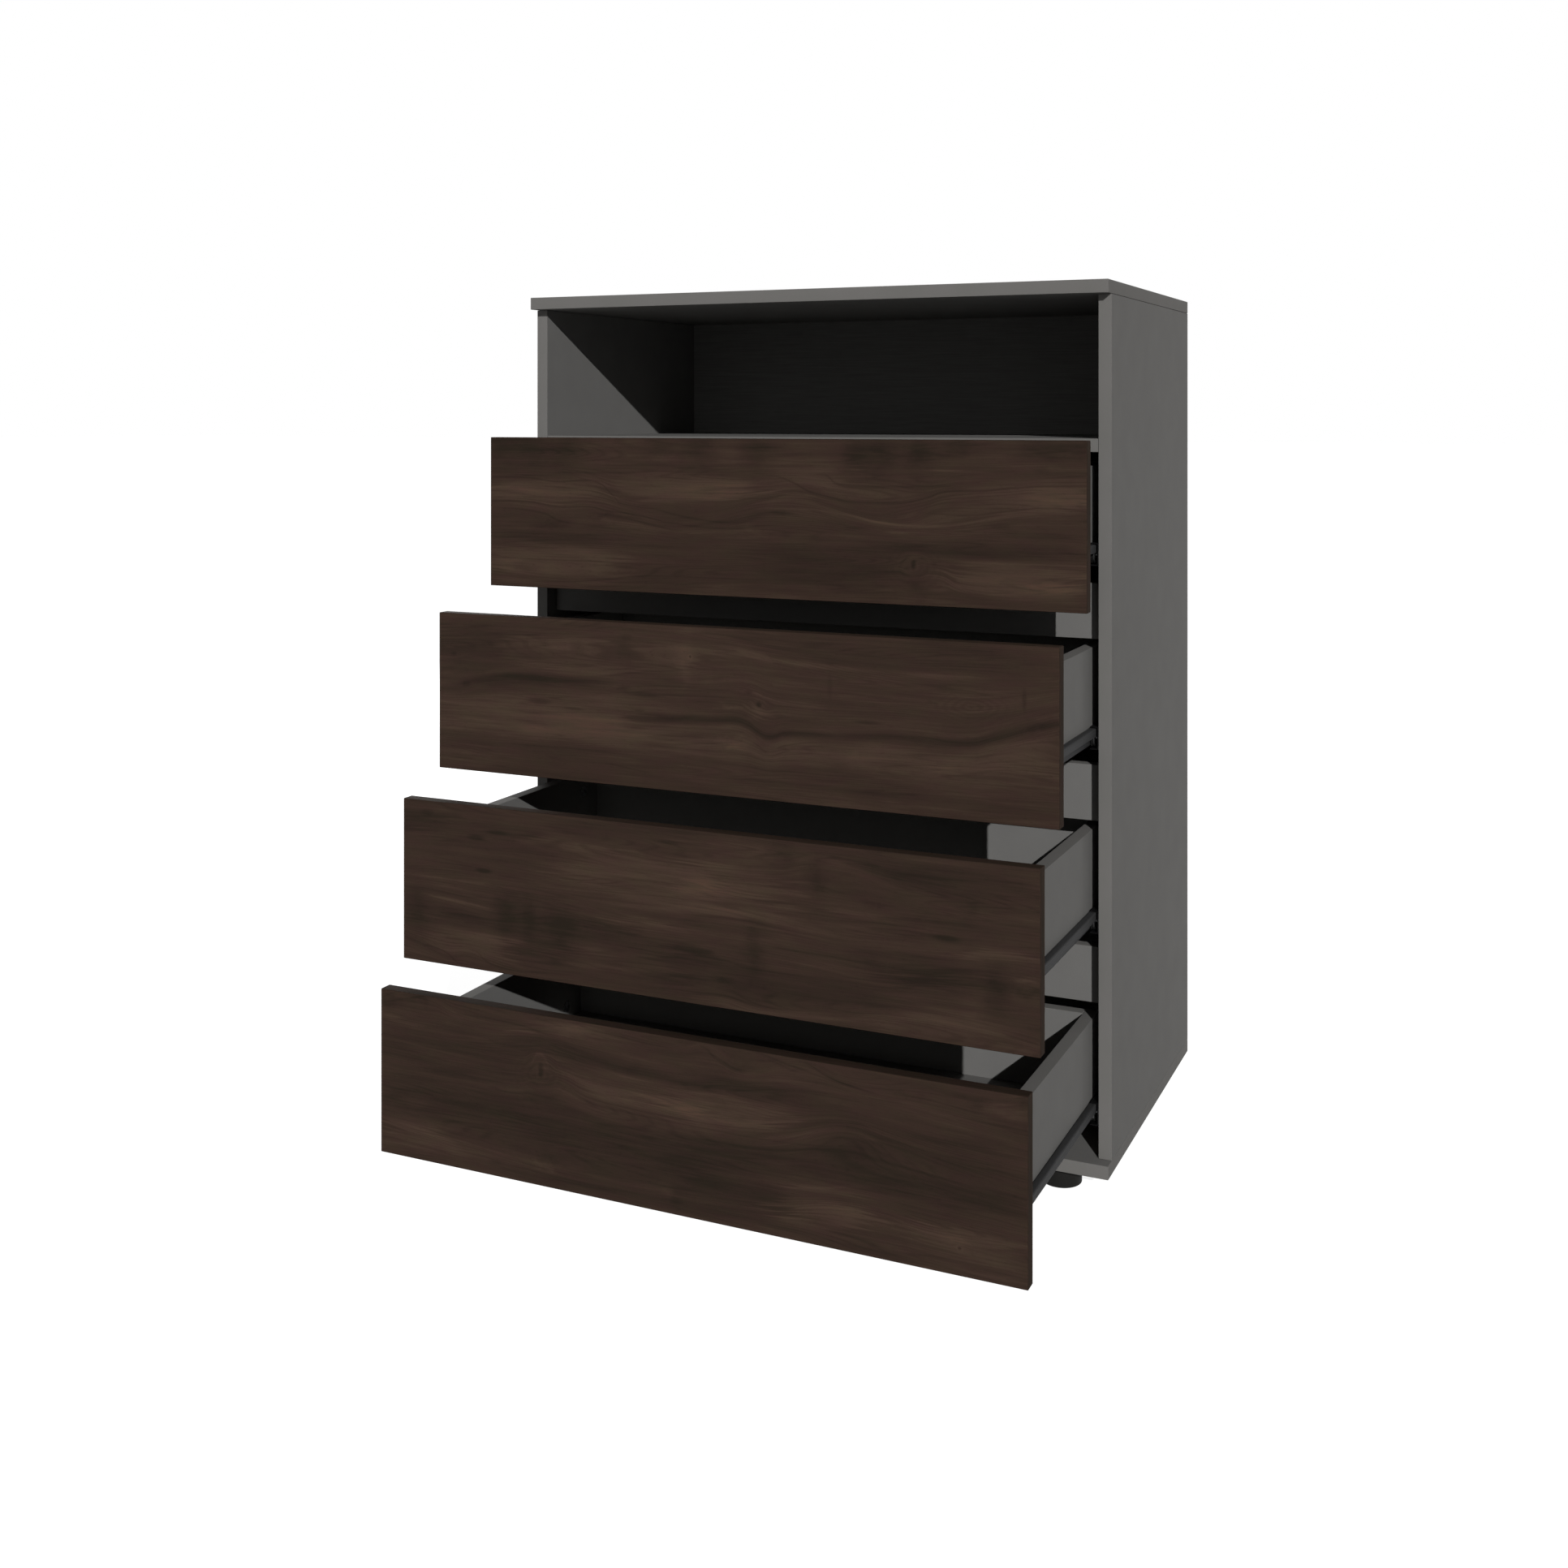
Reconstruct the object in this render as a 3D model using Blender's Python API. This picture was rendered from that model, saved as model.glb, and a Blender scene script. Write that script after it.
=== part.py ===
"""Chest of four handle-less drawers under an open cubby, built board by board.

Units are metres, +Z is up and the drawers open towards -Y. Left and right are as seen from the front,
so right is +X. The drawers stand pulled out in a cascade, the lowest one furthest. The world origin is
on the floor, midway across the chest, and midway between the front of the drawer that stands out
furthest and the rear edges of the carcass.

The chest empty carries every piece. Its own origin is on the floor in the plane of the closed drawer
fronts, so lengths along Y inside it are counted from the front of the closed chest. Each drawer hangs
on an empty of its own, level with the lower edge of its box and in the plane of its front's rear face.
"""

import math

import bmesh
import bpy
from mathutils import Vector

# Board stock
BOARD = 0.0159  # carcass panels, drawer fronts and drawer boxes
THIN_BOARD = 0.0032  # back panel and drawer bottoms
EDGE_EASE = 0.0005  # flat taken off every board edge
SEAT_GAP = 0.0003  # clearance where one piece rests on another
GROOVE_DEPTH = 0.006  # how far a drawer bottom reaches into the boards around it
CUT_MARGIN = 0.004  # how far a cutter runs past the piece that it cuts

# Carcass
CARCASS_WIDTH = 0.788
CUBBY_HEIGHT = 0.1697  # clear height of the cubby
REAR_SPACE = 0.0526  # between the runners and the back panel
BACK_RABBET_DEPTH = 0.0058  # from the rear edges to the shoulder that the back panel seats on
BACK_LAP = 0.008  # how far the back panel reaches over each panel around it
RAIL_SETBACK = 0.0234  # from the front edges of the side panels to the cross rails
RAIL_TO_BOX = 0.0101  # between a cross rail and the drawer box that passes below it

# Feet
FOOT_RADIUS = 0.0242
FOOT_HEIGHT = 0.026
FOOT_CHAMFER = 0.0015
FOOT_FROM_SIDE = 0.066  # centre of a foot from the outer face of the side panel
FOOT_FROM_EDGE = 0.0385  # centre of a foot from the front or rear edge of the bottom panel
FOOT_STEPS = 32

# Drawer boxes and fronts
BOX_HEIGHT = 0.112
FRONT_ABOVE_BOX = 0.0315
FRONT_BELOW_BOX = 0.0485
LOWEST_BOX_DROP = 0.0095  # the lowest box sits this much lower on its front than the others do
FINGER_GAP = 0.0236  # between one front and the next, to pull a drawer by
FRONT_SIDE_INSET = 0.0003  # from the outer face of a side panel to the end of a front
FRONT_TO_BOTTOM_PANEL = 0.0037
SHELF_REVEAL = 0.001  # how far the cubby shelf stands above the top front
BUMPER_GAP = 0.0009  # between a closed front and the side panels
BOTTOM_BOARD_RAISE = 0.012  # underside of a drawer bottom above the lower edge of its box

# Runners: a steel angle on the drawer box, and a steel channel on the side panel
RUNNER_LENGTH = 0.3765
RUNNER_SPACE = 0.0127  # between the drawer box and the side panel
STEEL = 0.0012
UNDER_BOX = 0.014  # width of the foot that the angle turns under the drawer box
ANGLE_HEIGHT = 0.020  # top of the angle's flange above the lower edge of the box
ANGLE_WIDTH = 0.0089  # width of the angle's flange
LIP_DEPTH = 0.0098  # height of the lip that the flange turns down into
CHANNEL_WIDTH = 0.0098
CHANNEL_BELOW = 0.0036  # inside of the channel's lower flange below the lower edge of the box
CHANNEL_PLAY = 0.0008  # between the angle's flange and the channel's upper flange
NOTCH_ROOT = 0.0004  # stub of flange that is left where the angle is notched for its roller

# Rollers and their pins
ROLLER_WIDTH = 0.0052
ROLLER_SIDE_PLAY = 0.0008  # between a roller and the web of the angle
ROLLER_END_GAP = 0.0008  # between a roller and the end of the steel that carries it
ROLLER_STOP_GAP = 0.0006  # between the two rollers of a fully open drawer
ROLLER_CHAMFER = 0.0006
ROLLER_BORE = 0.0018
ROLLER_RECESS_RADIUS = 0.0034
ROLLER_RECESS_DEPTH = 0.0009
ROLLER_STEPS = 24
PIN_RADIUS = 0.0016
PIN_HEAD_RADIUS = 0.003
PIN_HEAD_THICKNESS = 0.0008
PIN_SHOULDER_RADIUS = 0.0022
PIN_STEPS = 16
REAR_AXLE_RADIUS = 0.003
REAR_PIN_END = 0.0005  # how far the riveted end of a rear roller's pin stands out

# How much further each drawer can still be pulled out, from the top drawer down
TRAVEL_LEFT = (0.233, 0.1212, 0.0491, 0.0059)

SIDES = {"left": -1, "right": 1}
DRAWER_COUNT = len(TRAVEL_LEFT)

# Heights above the floor
FRONT_HEIGHT = FRONT_BELOW_BOX + BOX_HEIGHT + FRONT_ABOVE_BOX
CARCASS_BOTTOM = FOOT_HEIGHT + SEAT_GAP
BOTTOM_PANEL_TOP = CARCASS_BOTTOM + BOARD
LOWEST_FRONT_BOTTOM = BOTTOM_PANEL_TOP + FRONT_TO_BOTTOM_PANEL
FRONTS_TOP = LOWEST_FRONT_BOTTOM + DRAWER_COUNT * FRONT_HEIGHT + (DRAWER_COUNT - 1) * FINGER_GAP
SHELF_TOP = FRONTS_TOP + SHELF_REVEAL
TOP_PANEL_UNDERSIDE = SHELF_TOP + CUBBY_HEIGHT
CARCASS_TOP = TOP_PANEL_UNDERSIDE + BOARD

# Distances back from the plane of the closed fronts
SIDE_FRONT = BOARD + BUMPER_GAP
CHANNEL_FRONT = SIDE_FRONT + SEAT_GAP
RAIL_FRONT = SIDE_FRONT + RAIL_SETBACK
BACK_SHOULDER = CHANNEL_FRONT + RUNNER_LENGTH + REAR_SPACE
CARCASS_DEPTH = BACK_SHOULDER + BACK_RABBET_DEPTH

# Distances across from the middle of the chest
OUTER_HALF = CARCASS_WIDTH / 2
INNER_HALF = OUTER_HALF - BOARD
BOX_HALF = INNER_HALF - RUNNER_SPACE
BOX_INNER_HALF = BOX_HALF - BOARD

# Runner section: heights above the lower edge of the box
FLANGE_UNDERSIDE = ANGLE_HEIGHT - STEEL
CHANNEL_CEILING = ANGLE_HEIGHT + CHANNEL_PLAY
FRONT_ROLLER_RADIUS = (FLANGE_UNDERSIDE + CHANNEL_BELOW) / 2 - SEAT_GAP
FRONT_ROLLER_HEIGHT = (FLANGE_UNDERSIDE - CHANNEL_BELOW) / 2
REAR_ROLLER_RADIUS = (CHANNEL_CEILING + CHANNEL_BELOW) / 2 - SEAT_GAP
REAR_ROLLER_HEIGHT = (CHANNEL_CEILING - CHANNEL_BELOW) / 2

# Runner section: distances out from the side of the box
ANGLE_WEB = SEAT_GAP + STEEL
ROLLER_INNER_FACE = ANGLE_WEB + ROLLER_SIDE_PLAY
CHANNEL_OUTER_FACE = RUNNER_SPACE - SEAT_GAP

# Rollers along the runners, and the travel that ends when they meet
FRONT_ROLLER_INSET = FRONT_ROLLER_RADIUS + ROLLER_END_GAP
REAR_ROLLER_INSET = REAR_ROLLER_RADIUS + ROLLER_END_GAP
FRONT_ROLLER_PLACE = CHANNEL_FRONT + FRONT_ROLLER_INSET
CLOSED_REAR_ROLLER_PLACE = BOARD + SEAT_GAP + RUNNER_LENGTH - REAR_ROLLER_INSET
ROLLERS_MEET = FRONT_ROLLER_RADIUS + REAR_ROLLER_RADIUS + ROLLER_STOP_GAP
TRAVEL = CLOSED_REAR_ROLLER_PLACE - FRONT_ROLLER_PLACE - ROLLERS_MEET
OPENINGS = tuple(TRAVEL - left for left in TRAVEL_LEFT)


def clear_scene():
    """Remove every object of the scene."""
    for obj in list(bpy.data.objects):
        bpy.data.objects.remove(obj, do_unlink=True)


def linear(code):
    """Linear red, green, blue and alpha of an sRGB colour written as six hex digits."""
    shares = [int(code[i : i + 2], 16) / 255 for i in (0, 2, 4)]
    return [s / 12.92 if s <= 0.04045 else ((s + 0.055) / 1.055) ** 2.4 for s in shares] + [1.0]


def finish(name, code, roughness, metallic=0.0):
    """A plain material with one colour."""
    material = bpy.data.materials.new(name)
    material.use_nodes = True
    shader = material.node_tree.nodes["Principled BSDF"]
    shader.inputs["Base Color"].default_value = linear(code)
    shader.inputs["Roughness"].default_value = roughness
    shader.inputs["Metallic"].default_value = metallic
    return material


def grey_laminate():
    """Satin slate grey melamine on the carcass and the drawer boxes."""
    return finish("grey_laminate", "706F6D", 0.45)


def walnut_laminate():
    """Dark walnut melamine on the drawer fronts."""
    return finish("walnut_laminate", "3A2E29", 0.5)


def grey_hardboard():
    """Painted hardboard of the back panel and the drawer bottoms."""
    return finish("grey_hardboard", "6A6967", 0.6)


def runner_steel():
    """Dark powder-coated steel of the runners."""
    return finish("runner_steel", "3A3A3B", 0.5)


def roller_nylon():
    """Black nylon of the rollers."""
    return finish("roller_nylon", "2C2C2C", 0.35)


def foot_plastic():
    """Moulded black plastic of the feet."""
    return finish("foot_plastic", "2B2B2C", 0.5)


def add_empty(name, parent, location):
    """An empty that carries other pieces."""
    empty = bpy.data.objects.new(name, None)
    bpy.context.scene.collection.objects.link(empty)
    empty.parent = parent
    empty.location = location
    return empty


def add_object(name, mesh, material, parent, location):
    """An object placed in its parent's frame."""
    obj = bpy.data.objects.new(name, mesh)
    bpy.context.scene.collection.objects.link(obj)
    obj.parent = parent
    obj.location = location
    if material:
        mesh.materials.append(material)
    return obj


def mesh_from(name, bm):
    """A mesh with its faces turned outwards."""
    bmesh.ops.recalc_face_normals(bm, faces=bm.faces)
    mesh = bpy.data.meshes.new(name)
    bm.to_mesh(mesh)
    bm.free()
    return mesh


def block_mesh(name, size):
    """A rectangular block about its own centre."""
    bm = bmesh.new()
    bmesh.ops.create_cube(bm, size=1.0)
    bmesh.ops.scale(bm, vec=size, verts=bm.verts)
    return mesh_from(name, bm)


def bar_mesh(name, outline, length):
    """A bar along +Y from its origin, whose section is outline, a list of (x, z)."""
    bm = bmesh.new()
    near = [bm.verts.new((x, 0, z)) for x, z in outline]
    far = [bm.verts.new((x, length, z)) for x, z in outline]
    bm.faces.new(near)
    bm.faces.new(list(reversed(far)))
    for i in range(len(outline)):
        bm.faces.new((near[i - 1], near[i], far[i], far[i - 1]))
    return mesh_from(name, bm)


def turned_mesh(name, profile, steps, hollow=False):
    """A shape turned about the Z axis from profile, a list of (z, radius).

    A hollow one closes its profile on itself, and any other one has flat ends.
    """
    bm = bmesh.new()
    turns = [2 * math.pi * step / steps for step in range(steps)]
    rings = [
        [bm.verts.new((radius * math.cos(turn), radius * math.sin(turn), z)) for turn in turns]
        for z, radius in profile
    ]
    for row in range(0 if hollow else 1, len(rings)):
        for step in range(steps):
            last = step - 1
            bm.faces.new((rings[row - 1][last], rings[row - 1][step], rings[row][step], rings[row][last]))
    if not hollow:
        bm.faces.new(rings[0])
        bm.faces.new(rings[-1])
    mesh = mesh_from(name, bm)
    mesh.shade_smooth()
    mesh.set_sharp_from_angle(angle=math.radians(35))
    return mesh


def add_board(name, low, high, material, parent):
    """A board between two corners, with its edges eased."""
    low = Vector(low)
    high = Vector(high)
    board = add_object(name, block_mesh(name, high - low), material, parent, (low + high) / 2)
    ease = board.modifiers.new("eased_edges", "BEVEL")
    ease.width = EDGE_EASE
    ease.segments = 1
    ease.limit_method = "ANGLE"
    ease.angle_limit = math.radians(30)
    return board


def hide_helper(obj):
    """Mark an object as a cutter or a shape to be joined, which isn't a piece itself."""
    obj.hide_render = True
    obj.display_type = "WIRE"
    return obj


def add_cutter(name, low, high, parent):
    """A block that other pieces are cut by."""
    low = Vector(low)
    high = Vector(high)
    return hide_helper(add_object(name, block_mesh(name, high - low), None, parent, (low + high) / 2))


def combine(obj, helper, operation):
    """Cut a piece by a helper, or join the helper to it."""
    boolean = obj.modifiers.new(helper.name, "BOOLEAN")
    boolean.operation = operation
    boolean.solver = "EXACT"
    boolean.object = helper


def front_bottom(number):
    """Height of the lower edge of a drawer's front."""
    return LOWEST_FRONT_BOTTOM + (DRAWER_COUNT - number) * (FRONT_HEIGHT + FINGER_GAP)


def box_raise(number):
    """Height of the lower edge of a drawer's box above the lower edge of its front."""
    return FRONT_BELOW_BOX - (LOWEST_BOX_DROP if number == DRAWER_COUNT else 0)


def box_bottom(number):
    """Height of the lower edge of a drawer's box."""
    return front_bottom(number) + box_raise(number)


def add_outer_panels(chest, material):
    """Top, bottom and side panels: the side panels stand between the top and the bottom."""
    panels = [
        add_board(
            "top_panel",
            (-OUTER_HALF, 0, TOP_PANEL_UNDERSIDE),
            (OUTER_HALF, CARCASS_DEPTH, CARCASS_TOP),
            material,
            chest,
        ),
        add_board(
            "bottom_panel",
            (-OUTER_HALF, 0, CARCASS_BOTTOM),
            (OUTER_HALF, CARCASS_DEPTH, BOTTOM_PANEL_TOP),
            material,
            chest,
        ),
    ]
    for side, sign in SIDES.items():
        across = sorted((sign * INNER_HALF, sign * OUTER_HALF))
        panels.append(
            add_board(
                f"{side}_side_panel",
                (across[0], SIDE_FRONT, BOTTOM_PANEL_TOP + SEAT_GAP),
                (across[1], CARCASS_DEPTH, TOP_PANEL_UNDERSIDE - SEAT_GAP),
                material,
                chest,
            )
        )
    return panels


def add_back_panel(chest, panels, material):
    """Thin back panel in a rabbet around the rear of the outer panels."""
    half = INNER_HALF + BACK_LAP
    low = Vector((-half, BACK_SHOULDER + SEAT_GAP, BOTTOM_PANEL_TOP - BACK_LAP))
    high = Vector((half, BACK_SHOULDER + SEAT_GAP + THIN_BOARD, TOP_PANEL_UNDERSIDE + BACK_LAP))
    add_board("back_panel", low, high, material, chest)
    gap = Vector((SEAT_GAP, SEAT_GAP, SEAT_GAP))
    behind = Vector((high.x, CARCASS_DEPTH + CUT_MARGIN, high.z))
    rabbet = add_cutter("back_rabbet", low - gap, behind + gap, chest)
    for panel in panels:
        combine(panel, rabbet, "DIFFERENCE")


def add_cubby_shelf(chest, material):
    """Floor of the cubby, flush with the front edges of the side panels."""
    half = INNER_HALF - SEAT_GAP
    low = (-half, SIDE_FRONT, SHELF_TOP - BOARD)
    high = (half, BACK_SHOULDER, SHELF_TOP)
    add_board("cubby_shelf", low, high, material, chest)


def add_rails(chest, material):
    """An upright cross rail behind each finger gap, which it closes."""
    half = INNER_HALF - SEAT_GAP
    lap = FRONT_ABOVE_BOX - RAIL_TO_BOX
    for number in range(1, DRAWER_COUNT):
        low = (-half, RAIL_FRONT, front_bottom(number) - FINGER_GAP - lap)
        high = (half, RAIL_FRONT + BOARD, front_bottom(number) + lap)
        add_board(f"cross_rail_{number}", low, high, material, chest)


def add_feet(chest, material):
    """A round foot under each corner of the bottom panel."""
    profile = [
        (0, FOOT_RADIUS - FOOT_CHAMFER),
        (FOOT_CHAMFER, FOOT_RADIUS),
        (FOOT_HEIGHT, FOOT_RADIUS),
    ]
    ends = {"front": FOOT_FROM_EDGE, "rear": CARCASS_DEPTH - FOOT_FROM_EDGE}
    for end, place in ends.items():
        for side, sign in SIDES.items():
            name = f"foot_{end}_{side}"
            location = (sign * (OUTER_HALF - FOOT_FROM_SIDE), place, 0)
            add_object(name, turned_mesh(name, profile, FOOT_STEPS), material, chest, location)


def add_channel(chest, number, side, material):
    """The cabinet half of a runner, with the pin of its front roller."""
    sign = SIDES[side]
    name = f"cabinet_runner_{number}_{side}"
    outer = CHANNEL_OUTER_FACE
    inner = outer - CHANNEL_WIDTH
    web = outer - STEEL
    outline = [
        (inner, -CHANNEL_BELOW - STEEL),
        (outer, -CHANNEL_BELOW - STEEL),
        (outer, CHANNEL_CEILING + STEEL),
        (inner, CHANNEL_CEILING + STEEL),
        (inner, CHANNEL_CEILING),
        (web, CHANNEL_CEILING),
        (web, -CHANNEL_BELOW),
        (inner, -CHANNEL_BELOW),
    ]
    mesh = bar_mesh(name, [(sign * x, z) for x, z in outline], RUNNER_LENGTH)
    location = (sign * BOX_HALF, CHANNEL_FRONT, box_bottom(number))
    channel = add_object(name, mesh, material, chest, location)
    head_end = ROLLER_RECESS_DEPTH - SEAT_GAP
    shoulder = ROLLER_WIDTH + SEAT_GAP
    profile = [
        (head_end - PIN_HEAD_THICKNESS, PIN_HEAD_RADIUS),
        (head_end, PIN_HEAD_RADIUS),
        (head_end, PIN_RADIUS),
        (shoulder, PIN_RADIUS),
        (shoulder, PIN_SHOULDER_RADIUS),
        (web + STEEL / 2 - ROLLER_INNER_FACE, PIN_SHOULDER_RADIUS),
    ]
    pin_name = f"pin_{number}_{side}"
    place = (sign * ROLLER_INNER_FACE, FRONT_ROLLER_INSET, FRONT_ROLLER_HEIGHT)
    pin = hide_helper(
        add_object(pin_name, turned_mesh(pin_name, profile, PIN_STEPS), material, channel, place)
    )
    pin.rotation_euler.y = sign * math.pi / 2
    combine(channel, pin, "UNION")


def add_front_roller(chest, number, side, material):
    """The roller that the drawer half rides on, at the front of the channel, with its origin on its axle."""
    sign = SIDES[side]
    name = f"roller_{number}_{side}"
    radius = FRONT_ROLLER_RADIUS
    profile = [
        (ROLLER_RECESS_DEPTH, ROLLER_BORE),
        (ROLLER_RECESS_DEPTH, ROLLER_RECESS_RADIUS),
        (0, ROLLER_RECESS_RADIUS),
        (0, radius - ROLLER_CHAMFER),
        (ROLLER_CHAMFER, radius),
        (ROLLER_WIDTH - ROLLER_CHAMFER, radius),
        (ROLLER_WIDTH, radius - ROLLER_CHAMFER),
        (ROLLER_WIDTH, ROLLER_BORE),
    ]
    across = sign * (BOX_HALF + ROLLER_INNER_FACE)
    location = (across, FRONT_ROLLER_PLACE, box_bottom(number) + FRONT_ROLLER_HEIGHT)
    mesh = turned_mesh(name, profile, ROLLER_STEPS, hollow=True)
    roller = add_object(name, mesh, material, chest, location)
    roller.rotation_euler.y = sign * math.pi / 2


def add_angle(drawer, number, side, material):
    """The drawer half of a runner, notched at the rear for its own roller, which is riveted to it."""
    sign = SIDES[side]
    name = f"drawer_{number}_runner_{side}"
    flange_end = SEAT_GAP + ANGLE_WIDTH
    outline = [
        (ANGLE_WEB - UNDER_BOX - STEEL, -SEAT_GAP - STEEL),
        (ANGLE_WEB, -SEAT_GAP - STEEL),
        (ANGLE_WEB, FLANGE_UNDERSIDE),
        (flange_end - STEEL, FLANGE_UNDERSIDE),
        (flange_end - STEEL, ANGLE_HEIGHT - LIP_DEPTH),
        (flange_end, ANGLE_HEIGHT - LIP_DEPTH),
        (flange_end, ANGLE_HEIGHT),
        (SEAT_GAP, ANGLE_HEIGHT),
        (SEAT_GAP, -SEAT_GAP),
        (ANGLE_WEB - UNDER_BOX - STEEL, -SEAT_GAP),
    ]
    mesh = bar_mesh(name, [(sign * x, z) for x, z in outline], RUNNER_LENGTH)
    angle = add_object(name, mesh, material, drawer, (sign * BOX_HALF, SEAT_GAP, 0))
    across = sorted((sign * (ANGLE_WEB + NOTCH_ROOT), sign * (flange_end + CUT_MARGIN)))
    notch_start = RUNNER_LENGTH - 2 * REAR_ROLLER_INSET
    notch = add_cutter(
        f"notch_{number}_{side}",
        (across[0], notch_start, ANGLE_HEIGHT - LIP_DEPTH - CUT_MARGIN),
        (across[1], RUNNER_LENGTH + CUT_MARGIN, ANGLE_HEIGHT + CUT_MARGIN),
        angle,
    )
    combine(angle, notch, "DIFFERENCE")
    radius = REAR_ROLLER_RADIUS
    profile = [
        (SEAT_GAP + STEEL / 2 - ROLLER_INNER_FACE, REAR_AXLE_RADIUS),
        (0, REAR_AXLE_RADIUS),
        (0, radius - ROLLER_CHAMFER),
        (ROLLER_CHAMFER, radius),
        (ROLLER_WIDTH - ROLLER_CHAMFER, radius),
        (ROLLER_WIDTH, radius - ROLLER_CHAMFER),
        (ROLLER_WIDTH, PIN_RADIUS),
        (ROLLER_WIDTH + REAR_PIN_END, PIN_RADIUS),
    ]
    roller_name = f"rear_roller_{number}_{side}"
    place = (sign * ROLLER_INNER_FACE, RUNNER_LENGTH - REAR_ROLLER_INSET, REAR_ROLLER_HEIGHT)
    mesh = turned_mesh(roller_name, profile, ROLLER_STEPS)
    roller = hide_helper(add_object(roller_name, mesh, material, angle, place))
    roller.rotation_euler.y = sign * math.pi / 2
    combine(angle, roller, "UNION")


def add_drawer_boards(drawer, number, board_material, front_material, thin_material):
    """Front, two sides, back and grooved-in bottom of one drawer."""
    box_end = SEAT_GAP + RUNNER_LENGTH
    back_face = box_end - BOARD
    drop = box_raise(number)
    front = add_board(
        f"drawer_{number}_front",
        (-OUTER_HALF + FRONT_SIDE_INSET, -BOARD, -drop),
        (OUTER_HALF - FRONT_SIDE_INSET, 0, FRONT_HEIGHT - drop),
        front_material,
        drawer,
    )
    half = BOX_INNER_HALF - SEAT_GAP
    back = add_board(
        f"drawer_{number}_back",
        (-half, back_face, 0),
        (half, box_end, BOX_HEIGHT),
        board_material,
        drawer,
    )
    grooved = [front, back]
    for side, sign in SIDES.items():
        across = sorted((sign * BOX_INNER_HALF, sign * BOX_HALF))
        grooved.append(
            add_board(
                f"drawer_{number}_{side}_side",
                (across[0], SEAT_GAP, 0),
                (across[1], box_end, BOX_HEIGHT),
                board_material,
                drawer,
            )
        )
    reach = BOX_INNER_HALF + GROOVE_DEPTH - SEAT_GAP
    gap = Vector((SEAT_GAP, SEAT_GAP, SEAT_GAP))
    low = Vector((-reach, SEAT_GAP - GROOVE_DEPTH, BOTTOM_BOARD_RAISE))
    high = Vector((reach, back_face + GROOVE_DEPTH - SEAT_GAP, BOTTOM_BOARD_RAISE + THIN_BOARD))
    add_board(f"drawer_{number}_bottom", low, high, thin_material, drawer)
    groove = add_cutter(f"groove_{number}", low - gap, high + gap, drawer)
    for board in grooved:
        combine(board, groove, "DIFFERENCE")


def build():
    """The whole chest."""
    clear_scene()
    grey = grey_laminate()
    walnut = walnut_laminate()
    hardboard = grey_hardboard()
    steel = runner_steel()
    nylon = roller_nylon()
    plastic = foot_plastic()
    middle = (CARCASS_DEPTH - max(OPENINGS)) / 2
    chest = add_empty("chest", None, (0, -middle, 0))
    panels = add_outer_panels(chest, grey)
    add_back_panel(chest, panels, hardboard)
    add_cubby_shelf(chest, grey)
    add_rails(chest, grey)
    add_feet(chest, plastic)
    for number, opening in enumerate(OPENINGS, start=1):
        drawer = add_empty(f"drawer_{number}", chest, (0, BOARD - opening, box_bottom(number)))
        add_drawer_boards(drawer, number, grey, walnut, hardboard)
        for side in SIDES:
            add_channel(chest, number, side, steel)
            add_front_roller(chest, number, side, nylon)
            add_angle(drawer, number, side, steel)


build()
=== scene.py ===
"""Looks of a chest of four handle-less walnut-print drawers under an open cubby.

Units are metres unless a name says otherwise, and +Z is up. The drawers stand pulled out in a cascade.
The fronts are printed melamine, the carcass and the drawer boxes are plain grey melamine on chipboard,
and the runners are folded steel with nylon rollers.
"""

import math

import bmesh
import bpy
from mathutils import Matrix, Vector


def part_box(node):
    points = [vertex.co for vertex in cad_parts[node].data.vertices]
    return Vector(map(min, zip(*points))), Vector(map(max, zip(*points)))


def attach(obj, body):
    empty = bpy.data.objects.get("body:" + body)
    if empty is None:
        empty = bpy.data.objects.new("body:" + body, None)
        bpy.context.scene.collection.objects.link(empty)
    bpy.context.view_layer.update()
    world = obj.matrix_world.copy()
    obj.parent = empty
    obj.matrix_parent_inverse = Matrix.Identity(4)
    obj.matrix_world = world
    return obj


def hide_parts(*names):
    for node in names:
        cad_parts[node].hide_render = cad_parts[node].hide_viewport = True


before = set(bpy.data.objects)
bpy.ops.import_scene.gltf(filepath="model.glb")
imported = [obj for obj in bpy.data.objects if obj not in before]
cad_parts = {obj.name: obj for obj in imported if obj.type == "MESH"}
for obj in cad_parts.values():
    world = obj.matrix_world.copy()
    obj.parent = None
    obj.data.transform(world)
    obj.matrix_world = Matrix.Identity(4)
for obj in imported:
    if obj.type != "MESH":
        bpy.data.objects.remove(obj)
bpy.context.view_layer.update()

DRAWERS = (1, 2, 3, 4)
SIDES = {"left": -1, "right": 1}
WELD = 1e-6  # vertices closer than this are one
FLAT = math.radians(1)  # faces that meet at less than this are one
FLUSH = 2e-4  # a face this close to a side of the board's box is an outer face
SQUARE = 0.9  # a normal with this share of an axis is square to it
UV_STRIDE = 5  # metres of the UV map from one side of a board to the next
BOARD_FOLD = math.radians(50)  # steeper folds than this keep a hard edge
HARDWARE_FOLD = math.radians(35)  # the same for steel, rollers, feet and fasteners

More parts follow.
